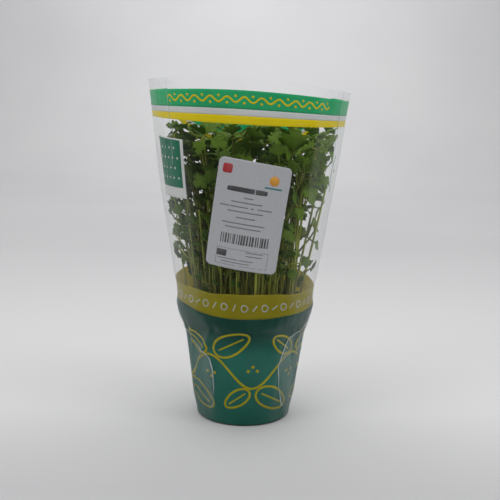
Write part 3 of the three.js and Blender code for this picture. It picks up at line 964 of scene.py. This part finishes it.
def label_patch(bm, x, y, width, height, columns, rows, corner=0.0, lift=LABEL_LIFT):
    """Adds a rectangle with its middle at x, y, a little above or level with the sticker's face."""
    made = bmesh.ops.create_grid(bm, x_segments=columns, y_segments=rows, size=0.5)
    for vert in made["verts"]:
        px, py = vert.co.x * width, vert.co.y * height
        if corner:
            px, py = rounded(px, py, width, height, corner)
        vert.co = label_point(x + px, y + py, lift)
    return made["verts"]


def label_disc(bm, x, y, radius, lift):
    made = bmesh.ops.create_circle(bm, cap_ends=True, cap_tris=True, segments=28, radius=radius)
    for vert in made["verts"]:
        vert.co = label_point(x + vert.co.x, y + vert.co.y, lift)
    return made["verts"]


STICKER_INKS = {
    "dark": (0.035, 0.035, 0.04),
    "grey": (0.2, 0.2, 0.22),
    "red": (0.42, 0.012, 0.02),
    "orange": (0.75, 0.33, 0.02),
    "teal": (0.02, 0.2, 0.22),
}
PRINT_LIFT = LABEL_LIFT + 0.06
# Plain marks, from the sticker's middle: x, y, width, height, columns and rows of the mesh, corner and ink
STICKER_MARKS = [
    (-23, 37.5, 8, 8, 4, 4, 1.5, "red"),
    (17, 26.6, 15, 1.4, 4, 2, 0, "teal"),
    (-4, 21.5, 34, 4.2, 8, 2, 1.2, "dark"),
    (-2, 15, 8, 1.1, 8, 1, 0, "grey"),
    (-3, 11, 26, 1.1, 8, 1, 0, "grey"),
    (-3, 7, 44, 1.1, 8, 1, 0, "grey"),
    (-3, 3, 30, 1.1, 8, 1, 0, "grey"),
    (-2, -2, 16, 1.1, 8, 1, 0, "grey"),
    (-3, -7, 36, 1.1, 8, 1, 0, "grey"),
    (-3, -10.6, 30, 1.1, 8, 1, 0, "grey"),
    (-17.5, -33.5, 8.4, 5.4, 3, 2, 0, "dark"),
    (10, -30.5, 14, 0.9, 4, 1, 0, "grey"),
    (10, -33.5, 14, 0.9, 4, 1, 0, "grey"),
    (0, -29.2, 44, 0.4, 8, 4, 0, "grey"),
    (0, -43, 44, 0.4, 8, 4, 0, "grey"),
    (-22, -36.1, 0.4, 14, 8, 4, 0, "grey"),
    (22, -36.1, 0.4, 14, 8, 4, 0, "grey"),
    (-5, -38, 30, 0.8, 6, 1, 0, "grey"),
    (-5, -40.6, 24, 0.8, 6, 1, 0, "grey"),
]
# Orange disc: x, y and radius
STICKER_DISC = (17, 33, 4.2)
# Plain bars: their span in x, their y and height, and the least and the greatest width and gap
BARS_SPAN = (-20, 20)
BARS_Y = -20.5
BARS_HEIGHT = 8.5
BAR_WIDTHS = (0.5, 1.6)
BAR_GAPS = (0.6, 1.5)
BAR_SEED = 5


def paint(verts, ink):
    index = list(STICKER_INKS).index(ink)
    for vert in verts:
        for face in vert.link_faces:
            face.material_index = index


def make_sticker():
    """The sheet of paper, tilted on the front of the film."""
    bm = bmesh.new()
    label_patch(bm, 0, 0, LABEL_WIDTH, LABEL_HEIGHT, 48, 72, LABEL_CORNER)
    sheet = finished(bm, "sticker", [sticker_material()])
    thicken(sheet, LABEL_THICKNESS)
    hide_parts("label")


def make_sticker_print():
    """Plain rules, bars and shapes on the sticker."""
    bm = bmesh.new()
    for *patch, corner, ink in STICKER_MARKS:
        paint(label_patch(bm, *patch, corner, PRINT_LIFT), ink)
    paint(label_disc(bm, *STICKER_DISC, PRINT_LIFT), "orange")
    random = seeded(BAR_SEED)
    x, end = BARS_SPAN
    while x < end:
        bar = lerp(*BAR_WIDTHS, next(random))
        paint(label_patch(bm, x, BARS_Y, bar, BARS_HEIGHT, 1, 3, 0, PRINT_LIFT), "dark")
        x += bar + lerp(*BAR_GAPS, next(random))
    inks = [sticker_ink_material(f"sticker_{name}_ink", colour) for name, colour in STICKER_INKS.items()]
    finished_ink(bm, "sticker_print", inks)


# Pot and soil


def spun(profile, steps=96):
    """A closed profile of (radius, height) points, turned once round Z."""
    bm = bmesh.new()
    verts = [bm.verts.new((radius, 0, z)) for radius, z in profile]
    edges = [bm.edges.new(pair) for pair in zip(verts, verts[1:])]
    bmesh.ops.spin(
        bm, geom=verts + edges, cent=(0, 0, 0), axis=(0, 0, 1), angle=TURN, steps=steps, use_merge=True
    )
    bmesh.ops.remove_doubles(bm, verts=bm.verts, dist=1e-4)
    bmesh.ops.recalc_face_normals(bm, faces=bm.faces)
    return bm


def wall_radius(z):
    """Outer radius of the pot's cone."""
    return POT_BASE_RADIUS + (POT_NECK_RADIUS - POT_BASE_RADIUS) * z / (POT_HEIGHT - POT_RIM_DEPTH)


# Ribs round the pot: they start above this height, and there is one at each step
RIBS_FROM = 60
RIB_STEP = 12
RIB_HEIGHT = 0.35


def pot_profile():
    """From the middle of the floor's underside, up the outside, over the rim and down the inside."""
    neck = POT_HEIGHT - POT_RIM_DEPTH
    outside = [(0, POT_FLOOR), (POT_BASE_RADIUS - 4.2, POT_FLOOR), (POT_BASE_RADIUS - 3, 0.3)]
    outside += [(POT_BASE_RADIUS - 2.6, 0), (POT_BASE_RADIUS - 0.5, 0), (POT_BASE_RADIUS, 0.5)]
    for z in range(6, neck - 1, 2):
        rib = RIB_HEIGHT if z % RIB_STEP == RIB_STEP / 2 and z > RIBS_FROM else 0
        outside.append((wall_radius(z) + rib, z))
    rim = [(POT_NECK_RADIUS, neck - 0.4), (POT_NECK_RADIUS + 0.5, neck), (POT_RIM_RADIUS - 0.7, neck)]
    rim += [(POT_RIM_RADIUS, neck + 0.6), (POT_RIM_RADIUS, POT_HEIGHT - 0.6)]
    rim_inside = POT_RIM_RADIUS - POT_WALL
    rim += [(POT_RIM_RADIUS - 0.5, POT_HEIGHT), (rim_inside + 0.4, POT_HEIGHT)]
    rim += [(rim_inside, POT_HEIGHT - 0.5)]
    inside = [(rim_inside, neck + POT_WALL + 0.5), (rim_inside - 0.5, neck + POT_WALL)]
    inside += [(POT_NECK_RADIUS - POT_WALL, neck + POT_WALL)]
    inside += [(POT_BASE_RADIUS - POT_WALL, POT_FLOOR + POT_WALL)]
    return outside + rim + inside + [(0, POT_FLOOR + POT_WALL)]


def make_drill():
    """Pins through the floor, one for each drain hole."""
    bm = bmesh.new()
    for k in range(DRAIN_HOLES):
        turn = TURN * k / DRAIN_HOLES
        place = Matrix.Translation((DRAIN_CIRCLE * math.cos(turn), DRAIN_CIRCLE * math.sin(turn), POT_FLOOR))
        bmesh.ops.create_cone(
            bm, cap_ends=True, segments=24, radius1=DRAIN_RADIUS, radius2=DRAIN_RADIUS, depth=12, matrix=place
        )
    return as_object(bm, "drill")


def make_pot():
    pot = finished(spun(pot_profile()), "nursery_pot", [pot_material()])
    drill = make_drill()
    cut = pot.modifiers.new("holes", "BOOLEAN")
    cut.object = drill
    cut.solver = "EXACT"
    bpy.context.view_layer.update()
    cut_mesh = bpy.data.meshes.new_from_object(pot.evaluated_get(bpy.context.evaluated_depsgraph_get()))
    pot.modifiers.clear()
    pot.data = cut_mesh
    pot.data.shade_smooth()
    pot.data.set_sharp_from_angle(angle=math.radians(35))
    bpy.data.objects.remove(drill)
    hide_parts("pot")


# Rings of the soil's top, as shares of its radius
SOIL_RINGS = (0.97, 0.92, 0.85, 0.77, 0.68, 0.59, 0.5, 0.4, 0.3, 0.2, 0.1)
# Lumps in the soil's top: height, size, and a place of their own in the noise
SOIL_LUMPS = [(1.2, 7, 0), (0.7, 2.4, 5)]
CRUMB_SEED = 77
CRUMBS = 620
CRUMB_BED = 50
CRUMB_SIZES = (0.5, 1.8)


def soil_relief(x, y):
    return sum(height * noise.noise(Vector((x / size, y / size, own))) for height, size, own in SOIL_LUMPS)


def make_soil(material):
    """The soil's body with a lumpy top."""
    bottom = POT_FLOOR + POT_WALL + SOIL_GAP
    inner = POT_WALL + SOIL_GAP
    edge = wall_radius(SOIL_TOP) - inner
    top = [(edge * share, SOIL_TOP) for share in SOIL_RINGS]
    side = [(wall_radius(z) - inner, z) for z in (bottom, 30, 60, SOIL_TOP - 1.2)]
    bm = spun([(0, bottom)] + side + top + [(0, SOIL_TOP)])
    for vert in bm.verts:
        if vert.co.z > SOIL_TOP - 0.5:
            vert.co.z += soil_relief(vert.co.x, vert.co.y)
    body = finished(bm, "soil_body", [material])
    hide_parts("soil")


def make_crumbs(material):
    """Loose crumbs on the soil."""
    random = seeded(CRUMB_SEED)
    bm = bmesh.new()
    for _ in range(CRUMBS):
        radius = CRUMB_BED * math.sqrt(next(random))
        turn = TURN * next(random)
        size = lerp(*CRUMB_SIZES, next(random) ** 2)
        place = Matrix.Translation((radius * math.cos(turn), radius * math.sin(turn), SOIL_TOP + 0.4))
        squash = Matrix.Diagonal((1, 0.6 + 0.4 * next(random), 0.5 + 0.4 * next(random), 1))
        spin = Matrix.Rotation(TURN * next(random), 4, "Z")
        bmesh.ops.create_icosphere(bm, subdivisions=1, radius=size, matrix=place @ spin @ squash)
    finished(bm, "soil_crumbs", [material], smooth=False)


# Growing rule


def crown_place(plant):
    radius = BED_RADIUS * math.sqrt((plant + 0.5) / PLANTS)
    turn = plant * GOLDEN_ANGLE
    return np.array([radius * math.cos(turn), radius * math.sin(turn), SOIL_TOP])


def overreach(points):
    """How far points reach towards the film, where 1 is its margin."""
    width, depth = sleeve_size(points[:, 2])
    return np.hypot(points[:, 0] / (width - FILM_MARGIN), points[:, 1] / (depth - FILM_MARGIN))


def bent_clear(points):
    """Points that would meet the film bend along it."""
    reach = overreach(points)
    room = 1 - SOFT_EDGE
    kept = SOFT_EDGE + room * np.tanh((reach - SOFT_EDGE) / room)
    share = np.where(reach <= SOFT_EDGE, 1.0, kept / np.maximum(reach, 1e-9))
    return points * np.column_stack([share, share, np.ones_like(share)])


class Leaflet:
    """A leaflet's place: along and across are unit vectors in its blade."""

    def __init__(self, base, along, across, length, droop, fold):
        self.base = base
        self.along = along
        self.across = across
        self.above = np.cross(along, across)
        self.length = length
        self.droop = droop
        self.fold = fold

    def tip(self):
        return self.base + self.along * self.length

    def points(self, uv, lift=0.0):
        """Points of the blade: u along the rib, v across it, in leaflet lengths. lift is in millimetres."""
        u, v = uv[:, 0:1], uv[:, 1:2]
        rise = self.fold * np.abs(v) - self.droop * u * u
        flat = self.base + (self.along * u + self.across * v + self.above * rise) * self.length
        return bent_clear(flat + self.above * np.reshape(lift, (-1, 1)))


class Stem:
    """A stem's curve from foot to end, bent at the knee, with its leaflets and its plant's number."""

    def __init__(self, plant, foot, knee, end, leaflets, width=1.0):
        self.plant = plant
        self.foot = foot
        self.knee = knee
        self.end = end
        self.leaflets = leaflets
        self.width = width

    def points(self, t):
        t = np.reshape(t, (-1, 1))
        return (1 - t) ** 2 * self.foot + 2 * (1 - t) * t * self.knee + t * t * self.end


def level_turn(angle, height=0.0):
    return np.array([math.cos(angle), math.sin(angle), height])


def make_leaflets(end, yaw, tilt, roll, size, droop, fold, stalk_scale=1.0):
    axis = level_turn(yaw) * math.cos(tilt) + np.array([0, 0, math.sin(tilt)])
    level = level_turn(yaw + math.pi / 2)
    above = np.cross(axis, level)
    side = level * math.cos(roll) + above * math.sin(roll)
    made = []
    for turn, stalk, length in (
        (0, TERMINAL_STALK, size),
        (SIDE_ANGLE, SIDE_STALK, size * SIDE_SIZE),
        (-SIDE_ANGLE, SIDE_STALK, size * SIDE_SIZE),
    ):
        along = axis * math.cos(turn) + side * math.sin(turn)
        across = side * math.cos(turn) - axis * math.sin(turn)
        made.append(Leaflet(end + along * stalk * stalk_scale, along, across, length, droop, fold))
    return made


def draw_stem(plant, rank, strain, random):
    """One leafy stem's shape. Strain goes from 0 to 1 as the tries for it run out."""
    rule = STEM_RANKS[rank]
    crown = crown_place(plant)
    outward = math.hypot(crown[0], crown[1]) / BED_RADIUS
    spread = (next(random) - 0.5) * lerp(*HEADING_SPREAD, strain)
    heading = math.atan2(crown[1], crown[0]) + rule["swing"] + spread
    z = lerp(rule["lowest"], rule["highest"], next(random))
    width, depth = sleeve_size(z)
    reach = lerp(*rule["reach"], outward) + (next(random) - 0.5) * lerp(*REACH_SPREAD, strain)
    out = min(reach, LARGEST_REACH)
    end = np.array([out * width * math.cos(heading), out * depth * math.sin(heading), z])
    yaw = heading + (next(random) - 0.5) * YAW_SPREAD
    tilt = math.radians(lerp(*rule["pitch"], next(random)))
    roll = (next(random) - 0.5) * ROLL_SPREAD
    size = rule["leaflet"] * lerp(*SIZE_SPREAD, next(random)) * (1 - STRAIN_SHRINK * strain)
    droop = lerp(*DROOP, next(random))
    fold = lerp(*FOLD, next(random))
    foot = crown + level_turn(heading + rank * FOOT_TURN) * FOOT_CIRCLE
    foot[2] = SOIL_TOP - FOOT_DEPTH
    knee = lerp(foot, end, KNEE_OUT)
    knee[2] = lerp(foot[2], end[2], KNEE_UP)
    return Stem(plant, foot, knee, end, make_leaflets(end, yaw, tilt, roll, size, droop, fold))


def feeler_spots():
    """Where a leaflet feels for others: its outline's points and mid-edges, at shares from its centre."""
    outline = [(1, 0)] + LOBES + [(0, 0)] + [(u, -v) for u, v in reversed(LOBES)]
    spots = []
    for (u, v), (next_u, next_v) in zip(outline, outline[1:] + outline[:1]):
        for rim_u, rim_v in ((u, v), ((u + next_u) / 2, (v + next_v) / 2)):
            spots += [(lerp(FAN_CENTRE, rim_u, share), share * rim_v) for share in FEELER_SHARES]
    return np.array(spots)


FEELER_SPOTS = feeler_spots()


def feelers(stem):
    blade = []
    for leaflet in stem.leaflets:
        blade.append(leaflet.points(FEELER_SPOTS))
        blade.append(np.array([lerp(stem.end, leaflet.base, share) for share in STALK_SHARES]))
    steps = math.ceil((stem.end[2] - stem.foot[2]) / STEM_FEELER_STEP)
    stalk = stem.points(np.arange(1, steps) / steps)
    return np.concatenate(blade), stalk


class Thicket:
    """Remembers where stems and leaves are. A point is kept in all the cells from which it could be felt."""

    def __init__(self, reach):
        self.reach = reach
        self.cells = {}

    def add(self, points, plant, is_stalk):
        for point in points.tolist():
            i, j, k = (math.floor(c / self.reach) for c in point)
            for x in (i - 1, i, i + 1):
                for y in (j - 1, j, j + 1):
                    for z in (k - 1, k, k + 1):
                        self.cells.setdefault((x, y, z), []).append((*point, plant, is_stalk))

    def touches(self, points, plant, is_stalk, clearance):
        limit = clearance * clearance
        for px, py, pz in points.tolist():
            cell = (math.floor(px / self.reach), math.floor(py / self.reach), math.floor(pz / self.reach))
            for x, y, z, other, other_stalk in self.cells.get(cell, ()):
                if is_stalk and other_stalk and other == plant:
                    continue
                if (x - px) ** 2 + (y - py) ** 2 + (z - pz) ** 2 < limit:
                    return True
        return False


def inside_sleeve(stem, blade):
    heights = blade[:, 2]
    tips = np.array([leaflet.tip() for leaflet in stem.leaflets])
    in_height = heights.min() > LEAF_LOWEST and heights.max() < LEAF_HIGHEST
    return in_height and overreach(tips).max() < LARGEST_OVERREACH


def grow_stems(thicket):
    """Grows the fourteen plants' stems by the part's own rule."""
    random = seeded(SEED)
    stems = []
    for rank in range(len(STEM_RANKS)):
        for plant in range(PLANTS):
            for attempt in range(TRIES):
                stem = draw_stem(plant, rank, attempt / TRIES, random)
                blade, stalk = feelers(stem)
                if not inside_sleeve(stem, blade):
                    continue
                if thicket.touches(blade, plant, False, LEAF_CLEARANCE):
                    continue
                if thicket.touches(stalk, plant, True, LEAF_CLEARANCE):
                    continue
                thicket.add(blade, plant, False)
                thicket.add(stalk, plant, True)
                stems.append(stem)
                break
    return stems


def in_open_side(points):
    return bool(((points[:, 0] > OPEN_SIDE_X) & (points[:, 2] < OPEN_SIDE_TOP)).any())


def draw_seedling(rule, headings, number, random):
    """One seedling's shape. It has a plant number of its own, below zero."""
    heading = lerp(*headings, next(random))
    foot_heading = heading + (next(random) - 0.5) * SEEDLING_FOOT_SPREAD
    foot = level_turn(foot_heading) * SEEDLING_BED * math.sqrt(next(random))
    foot[2] = SOIL_TOP - FOOT_DEPTH
    z = lerp(rule["lowest"], rule["highest"], next(random))
    width, depth = sleeve_size(z)
    reach = lerp(*rule["reach"], math.sqrt(next(random)))
    size = rule["leaflet"] * lerp(*SEEDLING_SIZES, next(random))
    out = min(reach, 1 - (LEAF_ROOM * size + FILM_MARGIN) / ROOM_HALF_WIDTH)
    end = np.array([out * width * math.cos(heading), out * depth * math.sin(heading), z])
    yaw = heading + (next(random) - 0.5) * SEEDLING_YAW_SPREAD
    tilt = math.radians(lerp(*rule["pitch"], next(random)))
    roll = (next(random) - 0.5) * SEEDLING_ROLL_SPREAD
    droop = lerp(*DROOP, next(random))
    fold = lerp(*FOLD, next(random))
    leaflets = make_leaflets(end, yaw, tilt, roll, size, droop, fold, size / FULL_LEAFLET)
    knee = lerp(foot, end, lerp(*SEEDLING_KNEES, next(random)))
    knee[2] = lerp(foot[2], end[2], KNEE_UP)
    return Stem(-1 - number, foot, knee, end, leaflets, lerp(*SEEDLING_WIDTHS, next(random)))


def grow_seedlings(thicket):
    """Grows the seedlings between the plants, each where its leaves have room."""
    random = seeded(SEEDLING_SEED)
    stems = []
    for rule, headings in zip(SEEDLING_RANKS, SEEDLING_HEADINGS):
        for _ in range(rule["count"]):
            for _attempt in range(SEEDLING_TRIES):
                stem = draw_seedling(rule, headings, len(stems), random)
                blade, stalk = feelers(stem)
                if not inside_sleeve(stem, blade) or in_open_side(blade):
                    continue
                if thicket.touches(blade, stem.plant, False, SEEDLING_CLEARANCE):
                    continue
                thicket.add(blade, stem.plant, False)
                thicket.add(stalk, stem.plant, True)
                stems.append(stem)
                break
    return stems


def bare_stems():
    """Thin upright stems that stand between the others and end among the leaves, few of them at the right."""
    random = seeded(BARE_SEED)
    stems = []
    for number in range(BARE_STEMS):
        turn = TURN * next(random)
        foot = level_turn(turn) * BARE_BED * next(random) ** BARE_CROWDING
        foot[2] = SOIL_TOP - FOOT_DEPTH
        end = foot * lerp(*BARE_LEANS, next(random))
        end[2] = lerp(*BARE_HEIGHTS, next(random))
        end = bent_clear(end[None])[0]
        knee = lerp(foot, end, 0.5) + level_turn(TURN * next(random)) * BARE_BEND * next(random)
        if end[0] > SPARSE_FROM and number % SPARSE_SHARE:
            continue
        stems.append(Stem(-1, foot, knee, end, [], lerp(*BARE_WIDTHS, next(random))))
    for (foot_x, y), (knee_x, knee_z), (end_x, end_z) in SIDE_STEMS:
        foot = np.array([foot_x, y, SOIL_TOP - FOOT_DEPTH])
        knee, end = np.array([knee_x, y, knee_z]), np.array([end_x, y, end_z])
        stems.append(Stem(-1, foot, knee, end, []))
    return stems


# Leaves and stems as meshes

TUBE_SIDES = 7
STEM_RINGS = 12
STALK_RINGS = 2
# Each plant's piece has these two materials
LEAF_SLOT = 0
STEM_SLOT = 1


def leaf_template():
    """A flat toothed leaflet: a row of points spun into a disc, drawn out to the outline, with two faces."""
    mirrored = [(u, -v) for u, v in reversed(TOOTHED_EDGE)]
    edge = [(1, 0)] + TOOTHED_EDGE + [(0, 0.012), (0, -0.012)] + mirrored
    spokes = len(edge)
    bm = bmesh.new()
    row = [bm.verts.new((ring / LEAF_RINGS, 0, 0)) for ring in range(LEAF_RINGS + 1)]
    edges = [bm.edges.new(pair) for pair in zip(row, row[1:])]
    bmesh.ops.spin(
        bm, geom=row + edges, cent=(0, 0, 0), axis=(0, 0, 1), angle=TURN, steps=spokes, use_merge=True
    )
    bmesh.ops.remove_doubles(bm, verts=bm.verts, dist=1e-5)
    for vert in bm.verts:
        share = math.hypot(vert.co.x, vert.co.y)
        spoke = round(math.atan2(vert.co.y, vert.co.x) / TURN * spokes) % spokes
        u, v = edge[spoke]
        vert.co = (lerp(FAN_CENTRE, u, share), v * share, 0)
    bmesh.ops.recalc_face_normals(bm, faces=bm.faces)
    bmesh.ops.solidify(bm, geom=bm.faces[:], thickness=0.01)
    middle = sum(vert.co.z for vert in bm.verts) / len(bm.verts)
    for vert in bm.verts:
        vert.co.z = 1 if vert.co.z > middle else -1
    bmesh.ops.recalc_face_normals(bm, faces=bm.faces)
    layer = bm.loops.layers.uv.new("leaf")
    for face in bm.faces:
        for loop in face.loops:
            loop[layer].uv = (loop.vert.co.x, 0.5 + 0.5 * loop.vert.co.y)
    return as_mesh(bm, "leaf_template")


def tube_template(steps):
    """A closed tube of unit radius whose height goes from 0 to 1."""
    bm = bmesh.new()
    ring = bmesh.ops.create_circle(bm, segments=TUBE_SIDES, radius=1)["verts"]
    edges = list({edge for vert in ring for edge in vert.link_edges})
    for _ in range(steps):
        grown = bmesh.ops.extrude_edge_only(bm, edges=edges)["geom"]
        verts = [item for item in grown if isinstance(item, bmesh.types.BMVert)]
        edges = [item for item in grown if isinstance(item, bmesh.types.BMEdge)]
        bmesh.ops.translate(bm, verts=verts, vec=(0, 0, 1 / steps))
    bmesh.ops.holes_fill(bm, edges=bm.edges, sides=TUBE_SIDES)
    bmesh.ops.recalc_face_normals(bm, faces=bm.faces)
    return as_mesh(bm, "tube_template")


class Templates:
    """The meshes that every leaflet, stem and stalk is a bent copy of."""

    def __init__(self):
        self.leaf = leaf_template()
        self.leaf_points = np.array([vert.co[:] for vert in self.leaf.vertices])
        self.stem = tube_template(STEM_RINGS)
        self.stalk = tube_template(STALK_RINGS)


def tube_points(mesh, centres, radii):
    """Where a tube template's points go, for a centre and a radius at each of its rings."""
    steps = len(centres) - 1
    tangents = np.gradient(centres, axis=0)
    tangents /= np.linalg.norm(tangents, axis=1)[:, None]
    across = np.array([1.0, 0, 0]) if abs(tangents[0][0]) < 0.9 else np.array([0, 1.0, 0])
    frames = []
    for tangent in tangents:
        across = across - tangent * across.dot(tangent)
        across /= np.linalg.norm(across)
        frames.append((across, np.cross(tangent, across)))
    points = []
    for vert in mesh.vertices:
        ring = round(vert.co.z * steps)
        first, second = frames[ring]
        points.append(centres[ring] + (first * vert.co.x + second * vert.co.y) * radii[ring])
    return points


# Shades from 0, the darkest, to 1: what a leaf gets, what more it may get at random, what height adds, and
# the painted light that the right side adds
LEAF_SHADE = 0.08
LEAF_SHADE_SPREAD = 0.36
LEAF_SHADE_HIGH = 0.26
LEAF_PAINTED_LIGHT_RIGHT = 0.6
LEAFLET_SHADE_SPREAD = 0.15
HIGH_BETWEEN = (150, 250)
RIGHT_BETWEEN = (15, 55)
# Stems are paler towards the sides with painted light, and those of the fourteen plants darker than the rest
STEM_PAINTED_LIGHT_SIDES = 0.3
SIDES_BETWEEN = (35, 65)
PLANT_STEM_SHADE = 0.75
SHADE_SEED = 900
# A stalk's radius at its start, middle and end, as shares of the stem's tip
STALK_TAPER = (1, 0.85, 0.7)
STALK_INTO_BLADE = 0.12
# A crown's radius at shares of its height, and how far it stands out of the soil
CROWN_SHARES = (0, 0.61, 1)
CROWN_RADII = (1.0, 2.4, 1.7)
CROWN_OUT = 4
CROWN_SHADE = 0.9


def add_leaflet(bm, templates, leaflet, shade, ripple):
    """Adds a leaflet with a rippled edge and a cupped blade."""
    spots = templates.leaf_points
    u, v, face = spots[:, 0], spots[:, 1], spots[:, 2]
    turn = np.arctan2(v, u - FAN_CENTRE)
    wave = RIPPLE_HEIGHT * np.sin(RIPPLES * turn + ripple) * (np.hypot(u - FAN_CENTRE, v) / 0.5) ** 2
    cup = CUP_HEIGHT * np.sin(np.abs(v) / 0.45 * 3.0 + u * 4)
    lift = (wave + cup) * leaflet.length + face * LEAF_THICKNESS / 2
    add_mesh(bm, templates.leaf, leaflet.points(spots[:, :2], lift), shade, LEAF_SLOT)


def add_tube(bm, tube, centres, radii, shade):
    add_mesh(bm, tube, tube_points(tube, centres, radii), shade, STEM_SLOT)


def add_stem(bm, templates, stem, random):
    """Adds a stem with its three leaflets and their stalks."""
    own = next(random) * (PLANT_STEM_SHADE if stem.plant >= 0 else 1)
    # Painted light: stems are paler towards the sides, for the film's haze there
    shade = min(own + STEM_PAINTED_LIGHT_SIDES * between(abs(stem.end[0]), *SIDES_BETWEEN), 1)
    shares = np.linspace(0, 1, STEM_RINGS + 1)
    radii = [stem.width * lerp(STEM_FOOT_RADIUS, STEM_TIP_RADIUS, t) for t in shares]
    add_tube(bm, templates.stem, stem.points(shares), radii, shade)
    leaf_shade = LEAF_SHADE + LEAF_SHADE_HIGH * between(stem.end[2], *HIGH_BETWEEN)
    leaf_shade += LEAF_SHADE_SPREAD * next(random) ** 1.5
    # Painted light: leaves are lighter towards the right
    leaf_shade += LEAF_PAINTED_LIGHT_RIGHT * between(stem.end[0], *RIGHT_BETWEEN)
    stalk_radii = [STEM_TIP_RADIUS * stem.width * taper for taper in STALK_TAPER]
    for leaflet in stem.leaflets:
        own = min(max(leaf_shade + LEAFLET_SHADE_SPREAD * (next(random) - 0.5), 0), 1)
        add_leaflet(bm, templates, leaflet, own, TURN * next(random))
        inner = leaflet.base + leaflet.along * STALK_INTO_BLADE * leaflet.length
        centres = bent_clear(np.array([stem.end, lerp(stem.end, inner, 0.5), inner]))
        add_tube(bm, templates.stalk, centres, stalk_radii, shade)


def add_crown(bm, templates, crown):
    """Adds the short thick root end that a plant's stems grow from."""
    low, high = SOIL_TOP + 2 - HOLE_DEPTH, SOIL_TOP + CROWN_OUT
    shares = np.linspace(0, 1, STEM_RINGS + 1)
    centres = np.array([[crown[0], crown[1], lerp(low, high, t)] for t in shares])
    radii = [float(np.interp(t, CROWN_SHARES, CROWN_RADII)) for t in shares]
    add_tube(bm, templates.stem, centres, radii, CROWN_SHADE)


def make_plants(stems, templates, materials, random):
    """The fourteen plants, each in the place of its solid."""
    for plant in range(PLANTS):
        bm = bmesh.new()
        add_crown(bm, templates, crown_place(plant))
        for stem in stems:
            if stem.plant == plant:
                add_stem(bm, templates, stem, random)
        number = f"{plant + 1:02d}"
        piece = finished(bm, f"leafy_plant_{number}", materials)
        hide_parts(f"parsley_plant_{number}")


def make_seedlings(stems, templates, materials, random):
    """The seedlings, in four pieces by the side that they lean to."""
    for group, name in enumerate(SEEDLING_GROUPS):
        bm = bmesh.new()
        for stem in stems:
            turn = math.atan2(stem.end[1], stem.end[0]) + math.pi / 2
            if round(turn / (math.pi / 2)) % 4 == group:
                add_stem(bm, templates, stem, random)
        finished(bm, f"seedlings_{name}", materials)


def make_parsley():
    templates = Templates()
    materials = [leaf_material(), stem_material()]
    thicket = Thicket(LEAF_CLEARANCE)
    random = seeded(SHADE_SEED)
    make_plants(grow_stems(thicket), templates, materials, random)
    make_seedlings(grow_seedlings(thicket) + bare_stems(), templates, materials, random)


# Stage, lights and camera

# Backdrop: where its wall stands, the radius of its bend, and how far floor and wall go
BACKDROP_WALL_Y = 2600
BACKDROP_BEND = 900
BACKDROP_HEIGHT = 3200
BACKDROP_FRONT_Y = -2500
BACKDROP_HALF_WIDTH = 3500


def make_backdrop():
    """A pale floor that curves up into a wall behind the object."""
    flat_end = BACKDROP_WALL_Y - BACKDROP_BEND

    def place(u, v):
        x = lerp(-BACKDROP_HALF_WIDTH, BACKDROP_HALF_WIDTH, u)
        reach = lerp(BACKDROP_FRONT_Y, BACKDROP_WALL_Y + BACKDROP_HEIGHT, v)
        if reach < flat_end:
            return Vector((x, reach, 0))
        turn = min((reach - flat_end) / BACKDROP_BEND, math.pi / 2)
        y = flat_end + BACKDROP_BEND * math.sin(turn)
        over = max(0, reach - flat_end - BACKDROP_BEND * math.pi / 2)
        return Vector((x, y, BACKDROP_BEND * (1 - math.cos(turn)) + over))

    backdrop = as_object(surface_grid(8, 120, place), "backdrop", [backdrop_material()])
    backdrop.data.shade_smooth()


# Lights: name, place and aim in metres, width and height in metres, and watts
LIGHTS = [
    ("light_above", (0, 0.05, 1.6), (0, 0.02, 0.15), (2.2, 2.0), 18.5),
    ("light_left", (-1.1, -0.75, 0.75), (0, 0, 0.16), (0.4, 1.1), 2.8),
    ("light_right", (1.15, -0.5, 0.7), (0, 0, 0.15), (0.35, 1.0), 2.4),
    ("light_wall", (0, 1.0, 1.9), (0, 2.4, 0.7), (2.2, 0.6), 16),
    ("light_wall_top", (0, 1.7, 1.3), (0, 2.5, 0.8), (0.5, 0.3), 5.5),
]
ROOM_COLOUR = (0.95, 0.945, 0.94)
ROOM_STRENGTH = 0.3


def area_light(name, place, aim, size, power):
    light = bpy.data.lights.new(name, "AREA")
    light.shape = "RECTANGLE"
    light.size, light.size_y = size
    light.energy = power
    lamp = bpy.data.objects.new(name, light)
    lamp.location = place
    lamp.rotation_euler = (Vector(aim) - Vector(place)).to_track_quat("-Z", "Y").to_euler()
    bpy.context.collection.objects.link(lamp)


def make_lights():
    for light in LIGHTS:
        area_light(*light)
    world = bpy.data.worlds.new("studio")
    world.use_nodes = True
    room = world.node_tree.nodes["Background"].inputs
    room["Color"].default_value = rgb(*ROOM_COLOUR)
    room["Strength"].default_value = ROOM_STRENGTH
    bpy.context.scene.world = world


def make_camera():
    camera = bpy.data.objects.new("camera", bpy.data.cameras.new("camera"))
    camera.data.lens = CAMERA_LENS
    camera.data.clip_start = 0.01
    pitch = Matrix.Rotation(math.radians(90 - CAMERA_DOWN), 4, "X")
    roll = Matrix.Rotation(math.radians(CAMERA_ROLL), 4, "Z")
    camera.matrix_world = Matrix.Translation(CAMERA_PLACE) @ pitch @ roll
    bpy.context.collection.objects.link(camera)
    bpy.context.scene.camera = camera


def set_view():
    view = bpy.context.scene.view_settings
    view.view_transform = "Standard"
    view.look = "None"
    view.exposure = 0
    view.gamma = 1


make_camera()
make_lights()
make_backdrop()
set_view()
make_pot()
soil = soil_material()
make_soil(soil)
make_crumbs(soil)
make_parsley()
make_film(film_material())
make_folds()
make_prints()
make_sticker()
make_sticker_print()
